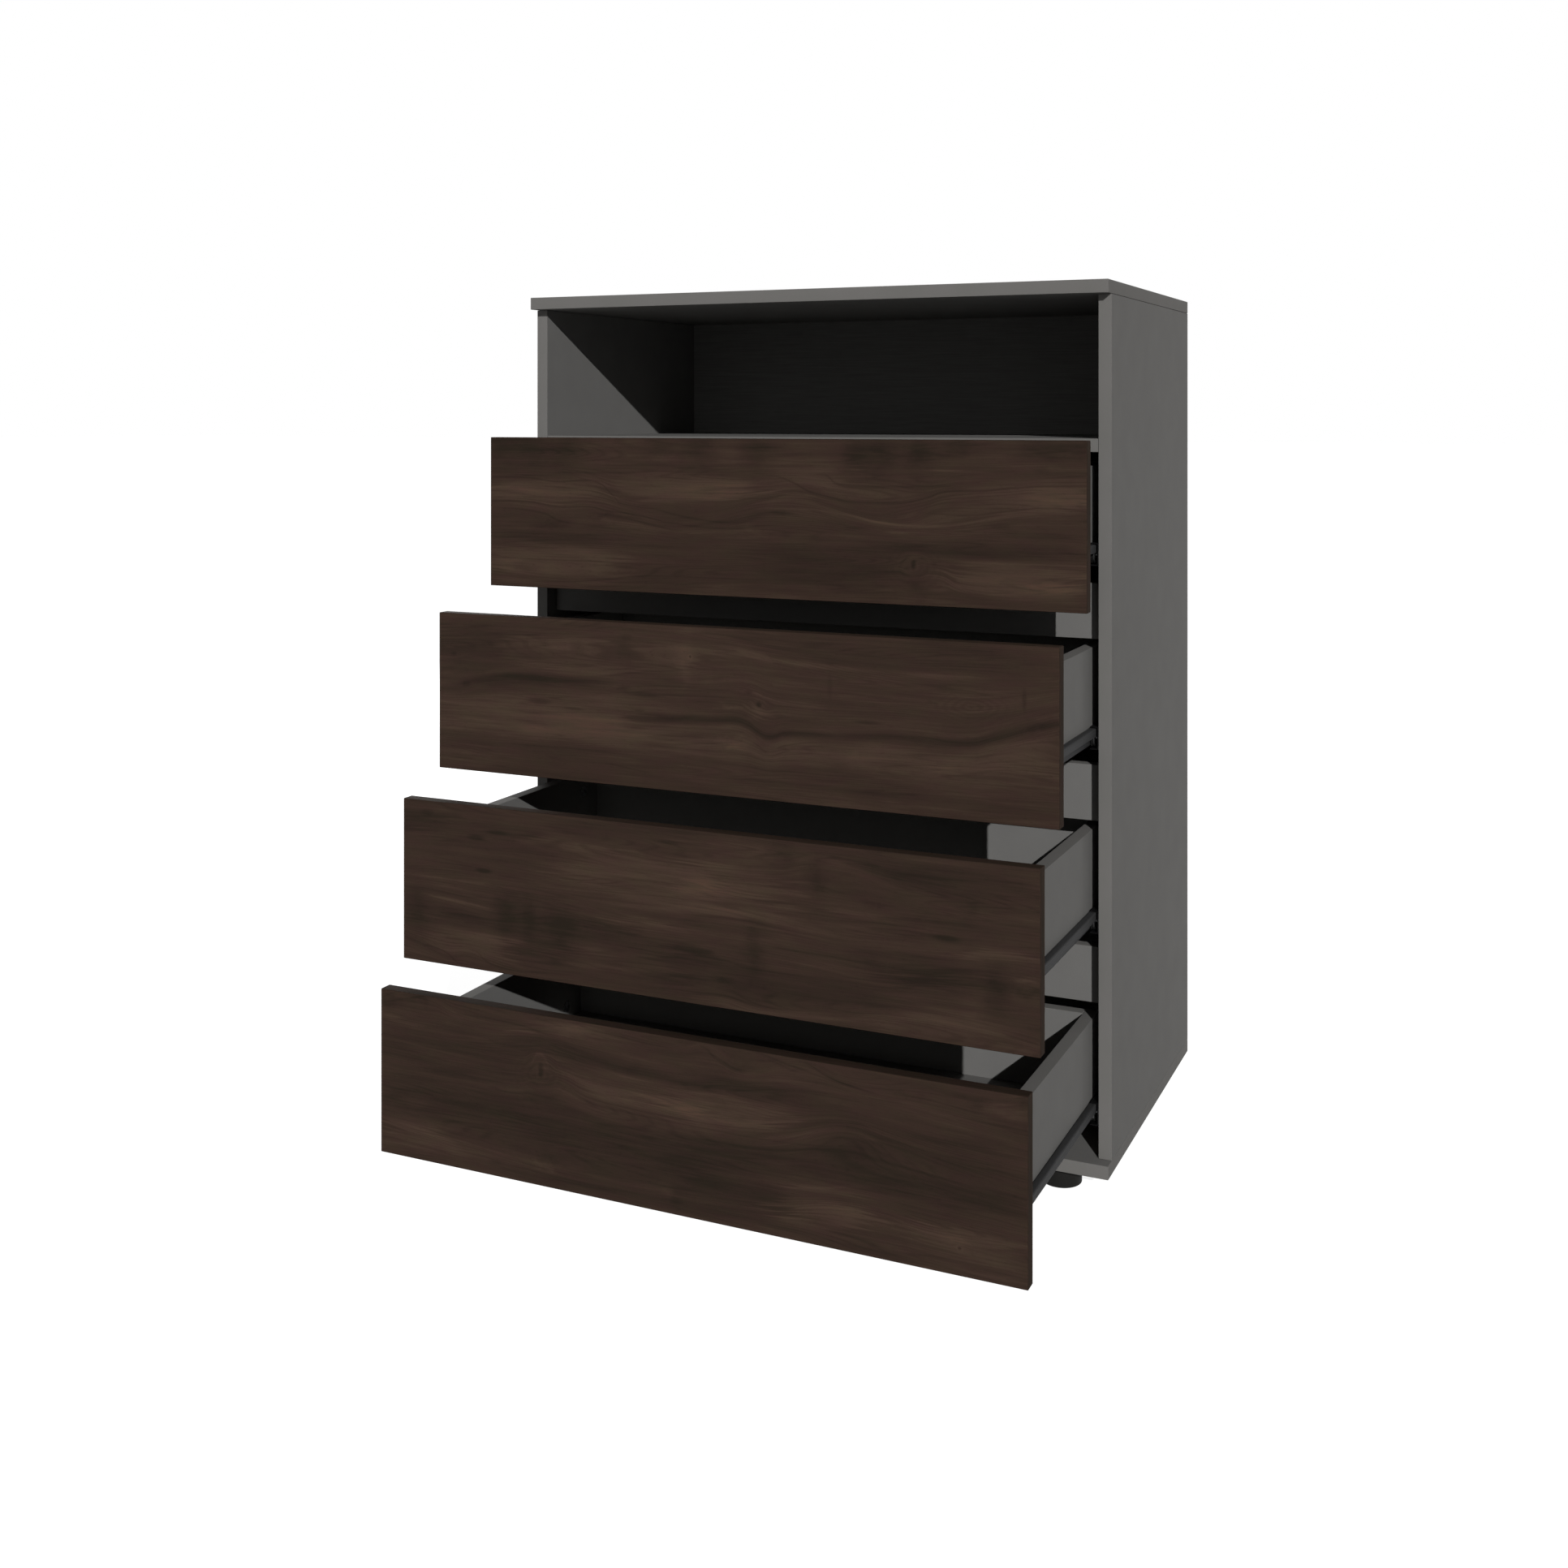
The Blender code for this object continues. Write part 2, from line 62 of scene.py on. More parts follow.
# Runner sections, from the side of the drawer box outwards and from its lower edge upwards
STEEL = 0.0012
BEND_RADIUS = 0.0012  # on the middle of the sheet
ANGLE_CORNERS = ((-0.0137, -0.0009), (0.0009, -0.0009), (0.0009, 0.0194), (0.0086, 0.0194), (0.0086, 0.0102))
CHANNEL_CORNERS = ((0.0026, -0.0042), (0.0118, -0.0042), (0.0118, 0.0214), (0.0026, 0.0214))
NOTCH_CORNERS = ((0.0019, 0.006), (0.012, 0.006), (0.012, 0.022), (0.0019, 0.022))  # clears the rear roller
NOTCH_LENGTH = 0.0254
PAST_END = 0.002  # how far the notch's cutter runs past the end of the angle
SLOT_LENGTH = 0.010
SLOT_WIDTH = 0.0042
ANGLE_WEB = (-0.001, 0.004)  # where the cutters of the slots start and end
CHANNEL_WEB = (0.009, 0.014)
ANGLE_SCREW_FACE = 0.0015  # where the middle of a screw's head lies
CHANNEL_SCREW_FACE = 0.0112
ANGLE_SCREW_HEIGHT = 0.0106  # the channel's screws and slots lie as high as its roller

# Screws and slots of the runners, back from the front end of each half
ANGLE_SCREWS = (0.024, 0.137, 0.290)
ANGLE_SLOTS = (0.080, 0.191, 0.240)
CHANNEL_SCREWS = (0.037, 0.165, 0.293)
CHANNEL_SLOTS = (0.069, 0.229, 0.325)

# Rollers. height is from the lower edge of the drawer box to the pin
FRONT_ROLLER = {"radius": 0.0109, "height": 0.0076, "from_front": 0.0117}
REAR_ROLLER = {"radius": 0.0119, "height": 0.0086, "from_rear": 0.0127}
ROLLER_INNER_FACE = 0.0023
ROLLER_WIDTH = 0.0052
ROLLER_SIDES = 48
PIN_RADIUS = 0.0016
PIN_HEAD_RADIUS = 0.003
PIN_SIDES = 24

FOOT_RADIUS = 0.0242
FOOT_HEIGHT = 0.026
FOOT_EDGE = 0.0016  # rounding of its lower edge
FOOT_SIDES = 64

# Fasteners. Each head has a radius, a height, a dome, and the width and length of its cross slot
HEAD_SIZES = ("Head Radius", "Head Height", "Dome", "Slot Width", "Slot Length")
COUNTERSUNK_SCREW = (0.0033, 0.0006, 0.0, 0.0008, 0.0036)
PAN_HEAD_SCREW = (0.0034, 0.0026, 0.0006, 0.0008, 0.0036)
CAM_LOCK = (0.0075, 0.0006, 0.0, 0.0016, 0.0085)
NAIL = (0.0016, 0.001, 0.0003, 0.0001, 0.0001)
SLOT_LIFT = 0.6  # height of the middle of a cross slot, as a share of the head's height
HEAD_SIDES = 20
CAM_HEIGHTS = (0.032, 0.088)
CAM_FROM_FRONT = 0.034
CAM_FROM_REAR = 0.050
NAIL_MARGIN = 0.004
NAIL_SPACING = 0.11

# The photograph is 1932 pixels square, with its horizon 452.8 pixels above the middle
PHOTO_SIZE = 1932
HORIZON_ABOVE_MIDDLE = 452.8
FOCAL_LENGTH_MM = 39.871
SENSOR_WIDTH_MM = 36
CAMERA_PLACE = (0.886976, -2.051226, 0.911497)
CAMERA_TURN = 0.42787

FLAKES_PER_METRE = 450.0  # of the chipboard's core

# Stage and lamps
WHITE = (1.0, 1.0, 1.0, 1.0)
FLOOR_HALF = 60.0
FLOOR_PAINT = (0.6, 0.6, 0.6, 1.0)  # as the chest sees it
FLOOR_SEEN = (0.42, 0.42, 0.42, 1.0)  # as the camera sees it, with a glow that lifts it to white
FLOOR_GLOW = 0.86
FILL = 0.012  # strength of the surround where it lights the chest
# Name, kind, place, direction, energy, and the angle of a sun or the width of an area
LAMPS = (
    ("key", "SUN", (1.6, -2.8, 1.9), (-0.480, 0.785, -0.405), 2.87, math.radians(0.5)),
    ("front_fill", "SUN", (0.3, -3.0, 1.2), (-0.1, 0.97, -0.2), 0.3, math.radians(50)),
    ("right_softbox", "AREA", (2.1, 1.5, 1.25), (-2.0, -1.3, -0.6), 5.0, 1.0),
    ("rear_softbox", "AREA", (-2.6, 3.0, 1.7), (2.6, -3.0, -1.1), 90.0, 2.2),
)


def linear(hex_colour):
    """Linear RGBA of an sRGB hex colour."""
    channels = [int(hex_colour[start:start + 2], 16) / 255 for start in (1, 3, 5)]
    return tuple(c / 12.92 if c <= 0.04045 else ((c + 0.055) / 1.055) ** 2.4 for c in channels) + (1.0,)


def add(tree, kind, inputs=None, **settings):
    """Add a node with its settings; inputs are values or links, by socket name or number."""
    node = tree.nodes.new(kind)
    for name, value in settings.items():
        setattr(node, name, value)
    for socket, value in (inputs or {}).items():
        if isinstance(value, bpy.types.NodeSocket):
            tree.links.new(value, node.inputs[socket])
        else:
            node.inputs[socket].default_value = value
    return node


def new_material(name):
    """An empty node material."""
    material = bpy.data.materials.new(name)
    material.use_nodes = True
    material.node_tree.nodes.clear()
    return material, material.node_tree


def finish_material(tree, colour, roughness, relief, relief_depth, **shader_values):
    """Shader and output of a material. Relief is a height from 0 to 1, relief_depth its size in metres."""
    inputs = {"Base Color": colour, "Roughness": roughness}
    inputs.update({name.replace("_", " "): value for name, value in shader_values.items()})
    shader = add(tree, "ShaderNodeBsdfPrincipled", inputs)
    bump = add(tree, "ShaderNodeBump", {"Height": relief, "Distance": relief_depth})
    tree.links.new(bump.outputs["Normal"], shader.inputs["Normal"])
    add(tree, "ShaderNodeOutputMaterial", {"Surface": shader.outputs["BSDF"]})


def stretched_noise(tree, place, size_mm, detail=2.0, roughness=0.5, offset=0.0, dimensions="3D"):
    """Noise from 0 to 1 whose patches measure size_mm along each axis of place, which is in metres."""
    scale = tuple(1000 / size for size in size_mm)
    inputs = {"Vector": place, "Location": (offset, offset, 0.0), "Scale": scale}
    mapping = add(tree, "ShaderNodeMapping", inputs)
    inputs = {"Vector": mapping.outputs[0], "Scale": 1.0, "Detail": detail, "Roughness": roughness}
    return add(tree, "ShaderNodeTexNoise", inputs, noise_dimensions=dimensions).outputs[0]


def mottled(name, colours, span, noise, roughness, depth, relief=None, fleck=None, **shader_values):
    """A surface whose colour drifts from a dark to a light tone as a noise goes over a span.

    A noise is its patch size in millimetres, detail, roughness and offset. relief raises the surface by
    depth, and is the first noise where none is given. fleck is a further noise, after its share of the tone.
    """
    material, tree = new_material(name)
    place = add(tree, "ShaderNodeTexCoord").outputs["Object"]
    tone = stretched_noise(tree, place, *noise)
    height = stretched_noise(tree, place, *relief) if relief else tone
    if fleck:
        inputs = {0: stretched_noise(tree, place, *fleck[1:]), 1: fleck[0], 2: tone}
        tone = add(tree, "ShaderNodeMath", inputs, operation="MULTIPLY_ADD").outputs[0]
    ramp = add(tree, "ShaderNodeValToRGB", {"Fac": tone})
    for stop, position, colour in zip(ramp.color_ramp.elements, span, colours):
        stop.position = position
        stop.color = linear(colour)
    finish_material(tree, ramp.outputs[0], roughness, height, depth, **shader_values)
    return material


def grey_melamine(name, colours, depth, roughness):
    """Grey melamine paper pressed onto chipboard: even and dull, with a faint mottle and a pearl texture.

    The pearl texture is about half a millimetre on the real board, and is drawn coarser so that it shows.
    """
    fleck = (0.35, (1.6, 1.6, 1.6), 1.0, 0.5, 7.0)
    pearl = ((1.1, 1.1, 1.1), 1.0, 0.5, 3.0)
    mottle = ((45, 45, 45), 3.0)
    span = (0.45, 0.9)
    return mottled(name, colours, span, mottle, roughness, depth, pearl, fleck, Specular_IOR_Level=0.005)


def raw_chipboard():
    """The core of the boards where a groove or rabbet cuts it: pale brown flakes a few millimetres long."""
    material, tree = new_material("raw_chipboard")
    place = add(tree, "ShaderNodeTexCoord").outputs["Object"]
    flakes = add(tree, "ShaderNodeTexVoronoi", {"Vector": place, "Scale": FLAKES_PER_METRE})
    ramp = add(tree, "ShaderNodeValToRGB", {"Fac": flakes.outputs["Color"]})
    for stop, colour in zip(ramp.color_ramp.elements, ("#6d543a", "#a68a64")):
        stop.color = linear(colour)
    finish_material(tree, ramp.outputs[0], 0.9, flakes.outputs["Distance"], 0.0002, Specular_IOR_Level=0.2)
    return material


def grey_hardboard():
    """Thin hardboard with a grey printed face: matt, with a faint fine grain along the width."""
    colours = ("#666563", "#706f6d")
    grain = ((60, 12, 1.8), 3.0, 0.6)
    return mottled("grey_hardboard_face", colours, (0.3, 0.7), grain, 0.75, 0.00002, Specular_IOR_Level=0.005)


def brown_hardboard():
    """The bare side of thin hardboard: brown pressed fibre with short dark and light strands in clouds."""
    colours = ("#4e3a2a", "#7a5f45")
    fibre = ((2.2, 2.2, 2.2), 4.0, 0.7, 5.0)
    cloud = (0.5, (35, 35, 35), 3.0)
    return mottled(
        "brown_hardboard", colours, (0.45, 1.0), fibre, 0.75, 0.00008, fleck=cloud, Specular_IOR_Level=0.25
    )


def powder_coated_steel(name, colours):
    """Folded steel under dark powder coat: dull, rubbed in long streaks, with the coat's orange peel.

    The peel is drawn at 0.9 mm, about twice its real size, so that it shows.
    """
    rub = ((6, 70, 2), 3.0, 0.65, 2.0)
    peel = ((0.9, 0.9, 0.9), 1.0)
    return mottled(name, colours, (0.35, 0.75), rub, 0.5, 0.00002, peel, Specular_IOR_Level=0.025)


def zinc_plate():
    """Zinc-plated fasteners: pale bluish metal, a little uneven from the plating bath."""
    bath = ((1.2, 1.2, 1.2), 2.0)
    return mottled("zinc_plate", ("#9a9b9e", "#b6b8bb"), (0.3, 0.7), bath, 0.36, 0.00001, Metallic=1.0)


def moulded_nylon():
    """Black nylon of the rollers: smooth from the mould, with a clear highlight along its edges."""
    colours = ("#1a1a1a", "#222222")
    cloud = ((5, 5, 5), 2.0)
    return mottled("moulded_black_nylon", colours, (0.3, 0.7), cloud, 0.2, 0.00002, Specular_IOR_Level=0.5)


def moulded_plastic():
    """Black polypropylene of the feet: matt, with the spark texture of its mould, drawn coarser to show."""
    colours = ("#1a1a19", "#21201f")
    spark = ((0.8, 0.8, 0.8), 2.0)
    return mottled("moulded_black_plastic", colours, (0.3, 0.7), spark, 0.6, 0.00004, Specular_IOR_Level=0.06)


def squared_share(tree, value, middle, reach):
    """How far a value lies from a middle, as a share of a reach, squared."""
    away = add(tree, "ShaderNodeMath", {0: value, 1: middle}, operation="SUBTRACT").outputs[0]
    share = add(tree, "ShaderNodeMath", {0: away, 1: reach}, operation="DIVIDE").outputs[0]
    return add(tree, "ShaderNodeMath", {0: share, 1: share}, operation="MULTIPLY").outputs[0]


def fall(tree, amount):
    """1 where the amount is 0, and smoothly towards 0 as it grows."""
    negative = add(tree, "ShaderNodeMath", {0: amount, 1: -1.0}, operation="MULTIPLY").outputs[0]
    return add(tree, "ShaderNodeMath", {0: negative}, operation="EXPONENT").outputs[0]


def print_mark_group():
    """Node group: a sum, plus an oval mark of some strength with soft or crisp edges and ends."""
    tree = bpy.data.node_groups.new("print_mark", "ShaderNodeTree")
    sockets = ("X", "Y", "Across", "Up", "Half Length", "Half Height", "Ends", "Edges", "Strength", "Sum")
    for name in sockets:
        tree.interface.new_socket(name=name, in_out="INPUT", socket_type="NodeSocketFloat")
    tree.interface.new_socket(name="Sum", in_out="OUTPUT", socket_type="NodeSocketFloat")
    given = add(tree, "NodeGroupInput").outputs
    along = squared_share(tree, given["X"], given["Across"], given["Half Length"])
    upward = squared_share(tree, given["Y"], given["Up"], given["Half Height"])
    ends = add(tree, "ShaderNodeMath", {0: along, 1: given["Ends"]}, operation="POWER").outputs[0]
    both = add(tree, "ShaderNodeMath", {0: ends, 1: upward}, operation="ADD").outputs[0]
    edges = add(tree, "ShaderNodeMath", {0: both, 1: given["Edges"]}, operation="POWER").outputs[0]
    inputs = {0: fall(tree, edges), 1: given["Strength"], 2: given["Sum"]}
    total = add(tree, "ShaderNodeMath", inputs, operation="MULTIPLY_ADD").outputs[0]
    add(tree, "NodeGroupOutput", {"Sum": total})
    return tree


FRONT_WIDTH_MM = 787.4
FRONT_HEIGHT_MM = 192.0

# What shows in the walnut print of each front, in millimetres from its left end and up from its lower edge.
# Strengths are in steps of 1/255, below 0 for darker.
# base: how far the whole front lies from the middle of the palette.
# flow: fibres that lie at one height where they run straight, how far up and down they bend their
#   neighbours, and the points that they pass through.
# patches: centre, half length, half height and strength of areas with ragged ends, and of short smudges.
# lines: points, half height and strength of single dark or light fibres.
# marks: centre, half length, half height and strength of short crisp dashes, lenses and smudges.
# rings: centre, half length, half height, number and strength of oval growth rings.
# knots: centre, half length and half height of the eye.
WALNUT_FRONTS = {
    1: {
        "base": -0.4,
        "flow": (
            (103, 15, (
                (0, 110), (60, 109), (100, 104), (150, 105), (210, 97), (260, 90), (330, 96), (400, 109),
                (450, 108), (500, 102), (540, 95), (580, 92), (620, 93), (700, 105), (787, 108),
            )),
            (130, 18, (
                (0, 136), (150, 134), (195, 124), (280, 122), (390, 126), (440, 130), (480, 122), (540, 118),
                (570, 119), (600, 125), (620, 131), (700, 138), (787, 141),
            )),
            (26, 12, (
                (0, 22), (180, 16), (270, 22), (400, 24), (560, 30), (610, 35), (640, 24), (680, 20),
                (787, 27),
            )),
        ),
        "patches": (
            (15, 177, 25, 28, -12), (62, 175, 25, 26, -11), (112, 178, 25, 26, -12), (250, 184, 25, 14, -9),
            (302, 179, 24, 21, -13), (380, 178, 20, 21, -11), (360, 155, 45, 9, 4), (512, 176, 22, 24, -13),
            (545, 178, 18, 22, -11), (590, 176, 17, 21, -13), (640, 184, 22, 9, -9), (735, 185, 25, 13, -11),
            (778, 184, 22, 14, -12), (465, 154, 62, 15, 7), (85, 125, 90, 12, 12), (290, 126, 115, 11, 10),
            (360, 127, 45, 8, 4), (430, 119, 45, 10, 7), (700, 123, 95, 14, 9), (745, 128, 45, 9, 6),
            (90, 82, 24, 6, -9), (165, 92, 24, 4, -7), (340, 91, 50, 3, -7), (375, 80, 18, 5, 6),
            (100, 64, 105, 7, -10), (90, 31, 95, 22, 10), (30, 28, 22, 10, 4), (162, 30, 16, 8, 4),
            (240, 9, 62, 9, -6), (400, 46, 180, 24, -6), (735, 84, 55, 2.5, -7), (655, 64, 130, 9, -10),
            (705, 32, 85, 20, 12), (755, 28, 36, 7, 6), (480, 32, 95, 34, -4), (589, 20, 11, 20, -4),
        ),
        "lines": (
            (
                ((0, 140), (60, 140), (100, 136), (150, 138), (165, 134), (175, 126), (185, 118), (195, 110)),
                1.0, -9,
            ),
            (((100, 148), (210, 148)), 1.2, -8),
            (
                ((0, 110), (60, 109), (100, 104), (150, 105), (170, 101), (210, 97), (240, 92), (260, 88)),
                1.0, -9,
            ),
            (
                (
                    (400, 148), (430, 140), (450, 130), (480, 123), (500, 119), (540, 118), (570, 119),
                    (600, 125), (620, 132), (670, 134), (700, 138), (787, 141),
                ),
                1.2, -10,
            ),
            (((470, 150), (485, 140), (500, 137), (560, 137), (625, 139)), 1.6, -9),
            (((600, 107), (650, 106), (700, 112), (740, 116), (787, 113)), 0.9, -8),
            (((60, 8), (130, 10), (180, 15), (220, 20), (270, 22)), 1.2, -8),
            (((20, 101), (55, 99), (85, 94), (105, 86), (150, 82)), 1.4, -8),
            (((150, 97), (195, 93), (235, 85), (275, 79)), 1.3, -8),
            (((240, 104), (270, 98), (310, 92), (350, 90), (390, 96)), 1.5, -8),
            (((255, 88), (300, 84), (350, 83), (400, 88)), 1.2, -7),
            (((600, 157), (640, 156), (680, 155)), 1.6, 6),
            (((388, 108), (450, 108), (500, 102), (540, 95), (580, 92), (620, 93), (700, 105)), 1.5, 8),
        ),
        "marks": (
            (415, 103, 15, 2.2, -13), (512, 88, 14, 1.6, -7), (562, 84, 14, 1.6, 6), (735, 158, 10, 4, -6),
            (100, 116, 60, 1.2, -5), (360, 120, 50, 1.0, -5), (330, 125, 60, 1.0, -5), (130, 82, 14, 3, 5),
        ),
        "rings": ((583, 44, 34, 26, 4, 1.6),),
        "knots": ((583, 47, 3, 6),),
    },
    2: {
        "base": 0.8,
        "flow": (
            (82, 32, (
                (0, 84), (285, 84), (388, 86), (410, 87), (425, 83), (437, 76), (450, 72), (470, 77),
                (500, 79), (540, 80), (600, 83), (690, 84), (715, 91), (750, 102), (787, 113),
            )),
            (118, 18, (
                (0, 104), (30, 105), (60, 112), (100, 118), (200, 120), (350, 124), (430, 128), (450, 122),
                (560, 118), (787, 120),
            )),
            (155, 16, ((0, 158), (388, 168), (450, 162), (520, 155), (640, 152), (787, 150))),
        ),
        "patches": (
            (50, 160, 60, 28, -10), (125, 117, 50, 8, -7), (215, 120, 28, 6, -4), (320, 84, 40, 5, -6),
            (205, 165, 36, 9, 7), (325, 165, 36, 9, 7), (342, 148, 11, 24, 7), (215, 132, 45, 7, 7),
            (125, 72, 150, 26, 7), (250, 64, 150, 14, 9), (190, 22, 200, 22, -3), (590, 174, 200, 17, -9),
            (420, 165, 34, 9, 6), (565, 153, 115, 3.5, 7), (657, 142, 32, 4.5, -7), (590, 58, 200, 15, 7),
            (408, 61, 20, 7, 10), (560, 54, 18, 6, 4), (660, 50, 18, 6, 4), (770, 108, 20, 6, -7),
            (482, 110, 38, 5, 6), (438, 97, 14, 5, 7), (408, 103, 20, 3, 6),
        ),
        "lines": (
            (((20, 103), (30, 105), (60, 112), (100, 118), (200, 120), (240, 122)), 4.5, -12),
            (
                (
                    (285, 83), (370, 85), (388, 86), (410, 87), (425, 83), (437, 76), (450, 72), (470, 77),
                    (500, 79), (540, 80), (600, 83), (690, 84), (700, 86), (715, 91), (730, 96), (750, 102),
                    (787, 113),
                ),
                4.2, -15,
            ),
            (((310, 111), (400, 113)), 0.9, -6),
            (((290, 121), (400, 121)), 0.9, -5),
            (((400, 21), (480, 22), (540, 21), (580, 20), (650, 24)), 1.4, -6),
            (((100, 38), (250, 38)), 1.2, -6),
            (((235, 25), (300, 18)), 1.2, -6),
        ),
        "marks": (
            (22, 142, 4, 3, -8), (15, 150, 7, 1.5, 6), (265, 175, 8, 4, -6), (40, 106, 6, 4, -6),
            (262, 115, 8, 4, -6), (290, 109, 22, 2.8, -13), (145, 92, 17, 4, -13), (122, 88, 9, 1.4, -6),
            (195, 86, 14, 1.6, -9), (283, 90, 7, 1.8, -7), (525, 134, 3, 14, -5), (749, 134, 2.5, 11, -9),
            (645, 124, 7, 1.4, -6), (585, 125, 15, 1.2, -6), (425, 121, 5, 2.5, -6), (462, 97, 8, 2, -6),
            (570, 97, 16, 2.2, -12), (35, 15, 15, 1.4, -6), (90, 9, 10, 1.4, -6), (600, 12, 12, 2, 5),
        ),
        "rings": ((690, 122, 40, 16, 4, 2.2),),
        "knots": ((438, 108, 3.5, 3.5), (350, 157, 1.4, 1.6)),
    },
    3: {
        "base": -2.2,
        "flow": (
            (100, 14, (
                (0, 102), (120, 102), (250, 98), (388, 99), (500, 96), (565, 93), (640, 96), (787, 103),
            )),
            (155, 16, (
                (0, 152), (133, 160), (240, 158), (388, 154), (490, 156), (560, 166), (640, 156), (787, 150),
            )),
            (72, 12, (
                (0, 80), (60, 78), (130, 72), (200, 78), (300, 74), (475, 72), (600, 66), (740, 76),
                (787, 74),
            )),
            (16, 13, (
                (0, 26), (30, 20), (65, 13), (90, 16), (115, 13), (160, 8), (250, 10), (388, 12), (430, 14),
                (470, 9), (560, 14), (640, 22), (752, 18), (787, 14),
            )),
        ),
        "patches": (
            (30, 168, 36, 16, -9), (130, 168, 75, 13, -6), (300, 180, 100, 10, -6), (320, 130, 120, 28, 9),
            (240, 160, 50, 7, 6), (440, 135, 70, 26, 9), (405, 129, 20, 5, 3), (440, 155, 55, 4, 6),
            (501, 176, 15, 16, -10), (540, 155, 10, 20, -7), (680, 168, 110, 16, -10), (650, 166, 34, 6, -6),
            (460, 180, 32, 6, 4), (611, 135, 17, 3, -7), (660, 130, 18, 5, -6), (712, 140, 8, 10, -6),
            (595, 122, 36, 5, 7), (750, 100, 36, 7, 9), (490, 104, 120, 6, 6), (20, 64, 18, 22, -12),
            (70, 55, 50, 10, -7), (20, 34, 22, 8, -7), (90, 28, 60, 14, 9), (145, 66, 15, 26, -9),
            (180, 62, 62, 26, -5), (150, 85, 16, 8, -6), (178, 67, 11, 26, -9), (220, 68, 17, 24, -7),
            (222, 45, 24, 28, -7), (185, 38, 34, 18, -6), (275, 72, 30, 9, -9), (320, 60, 90, 6, -5),
            (388, 55, 32, 11, -9), (340, 84, 40, 8, 7), (275, 25, 28, 3, 7), (375, 33, 30, 12, -7),
            (466, 68, 11, 26, -10), (430, 31, 8, 4, -9), (520, 36, 120, 14, -9), (540, 82, 64, 6, 3),
            (655, 68, 72, 17, -10), (650, 63, 26, 8, -6), (743, 64, 12, 22, -13), (775, 65, 16, 4, -9),
            (772, 79, 16, 4, 10), (715, 40, 16, 10, 4), (500, 4, 110, 6, 7), (690, 13, 100, 13, 9),
            (300, 10, 100, 6, -4),
        ),
        "lines": (
            (((30, 20), (50, 18), (65, 13), (82, 4)), 1.1, -8),
            (((104, 21), (115, 13), (135, 7), (165, 6), (200, 8)), 1.1, -8),
            (((25, 81), (60, 78), (95, 76), (130, 72)), 2.0, 10),
            (((40, 86), (75, 84), (110, 84)), 0.9, -6),
            (((388, 98), (440, 100), (500, 96), (565, 93)), 1.6, -8),
            (((477, 74), (540, 74), (602, 71)), 1.3, -6),
            (((475, 64), (540, 60), (600, 56)), 2.2, 6),
            (((500, 116), (650, 116)), 1.0, -5),
            (((215, 121), (250, 119), (320, 118)), 1.2, -6),
            (((388, 12), (430, 14), (470, 9), (505, 9)), 1.4, -8),
            (((752, 18), (770, 16), (787, 13)), 1.1, -8),
            (((0, 101), (100, 101), (210, 101)), 2.0, 6),
        ),
        "marks": (
            (104, 155, 12, 3.4, -13), (134, 164, 14, 2.8, -10), (115, 117, 11, 2.8, -17),
            (150, 114, 14, 1.0, -6), (360, 175, 14, 2.5, -8), (687, 109, 15, 3.2, -14),
            (410, 166, 7, 1.8, -7), (35, 178, 9, 4, -6),
        ),
        "rings": (),
        "knots": (),
    },
    4: {
        "base": -3.2,
        "flow": (
            (108, 20, (
                (0, 112), (120, 108), (190, 110), (212, 118), (235, 120), (252, 118), (280, 110), (330, 106),
                (450, 106), (520, 112), (600, 124), (640, 120), (700, 114), (787, 108),
            )),
            (90, 20, (
                (0, 90), (215, 96), (300, 92), (400, 87), (500, 90), (560, 100), (600, 105), (640, 100),
                (700, 95), (787, 89),
            )),
            (150, 14, (
                (0, 152), (160, 154), (218, 160), (300, 150), (388, 147), (450, 152), (560, 160), (787, 148),
            )),
            (180, 14, (
                (0, 180), (60, 190), (110, 178), (200, 176), (260, 182), (400, 180), (430, 186), (475, 170),
                (540, 186), (600, 172), (680, 178), (740, 176), (787, 184),
            )),
            (36, 14, ((0, 40), (100, 34), (250, 24), (400, 26), (500, 30), (600, 46), (700, 38), (787, 38))),
        ),
        "patches": (
            (10, 178, 16, 9, -9), (58, 190, 14, 5, -10), (25, 162, 32, 8, 9), (95, 172, 24, 8, 6),
            (235, 179, 75, 9, 9), (262, 181, 22, 5, 6), (100, 122, 120, 30, -6), (188, 154, 32, 7, -7),
            (310, 150, 85, 8, -12), (348, 154, 20, 5, -4), (222, 108, 20, 15, -6), (345, 122, 95, 18, 10),
            (385, 116, 38, 7, 5), (460, 120, 80, 16, 10), (495, 114, 34, 7, 6), (560, 121, 50, 10, 6),
            (200, 66, 230, 24, -9), (50, 66, 17, 7, 6), (165, 65, 22, 7, 4), (50, 28, 55, 20, 9),
            (45, 38, 36, 8, 4), (150, 24, 55, 8, 4), (228, 24, 24, 4, 10), (300, 12, 110, 8, -7),
            (392, 14, 12, 8, -7), (380, 24, 6, 9, 6), (450, 150, 70, 8, -10), (540, 156, 50, 6, -6),
            (690, 120, 110, 28, -7), (500, 80, 120, 16, -9), (690, 86, 110, 11, -9), (577, 62, 42, 10, 6),
            (558, 35, 46, 12, 10), (722, 39, 64, 9, 10), (711, 38, 13, 7, 7), (725, 12, 66, 14, 7),
            (450, 30, 70, 28, -9), (660, 174, 25, 4, -7), (733, 176, 9, 6, -9), (782, 185, 6, 8, -10),
            (700, 162, 60, 7, 7), (768, 172, 20, 8, 7), (520, 178, 80, 8, 6), (465, 172, 22, 6, -7),
        ),
        "lines": (
            (((20, 135), (60, 132), (120, 130)), 1.2, 6),
            (((120, 110), (190, 111), (212, 117)), 1.3, 6),
            (((150, 120), (200, 122)), 1.0, 5),
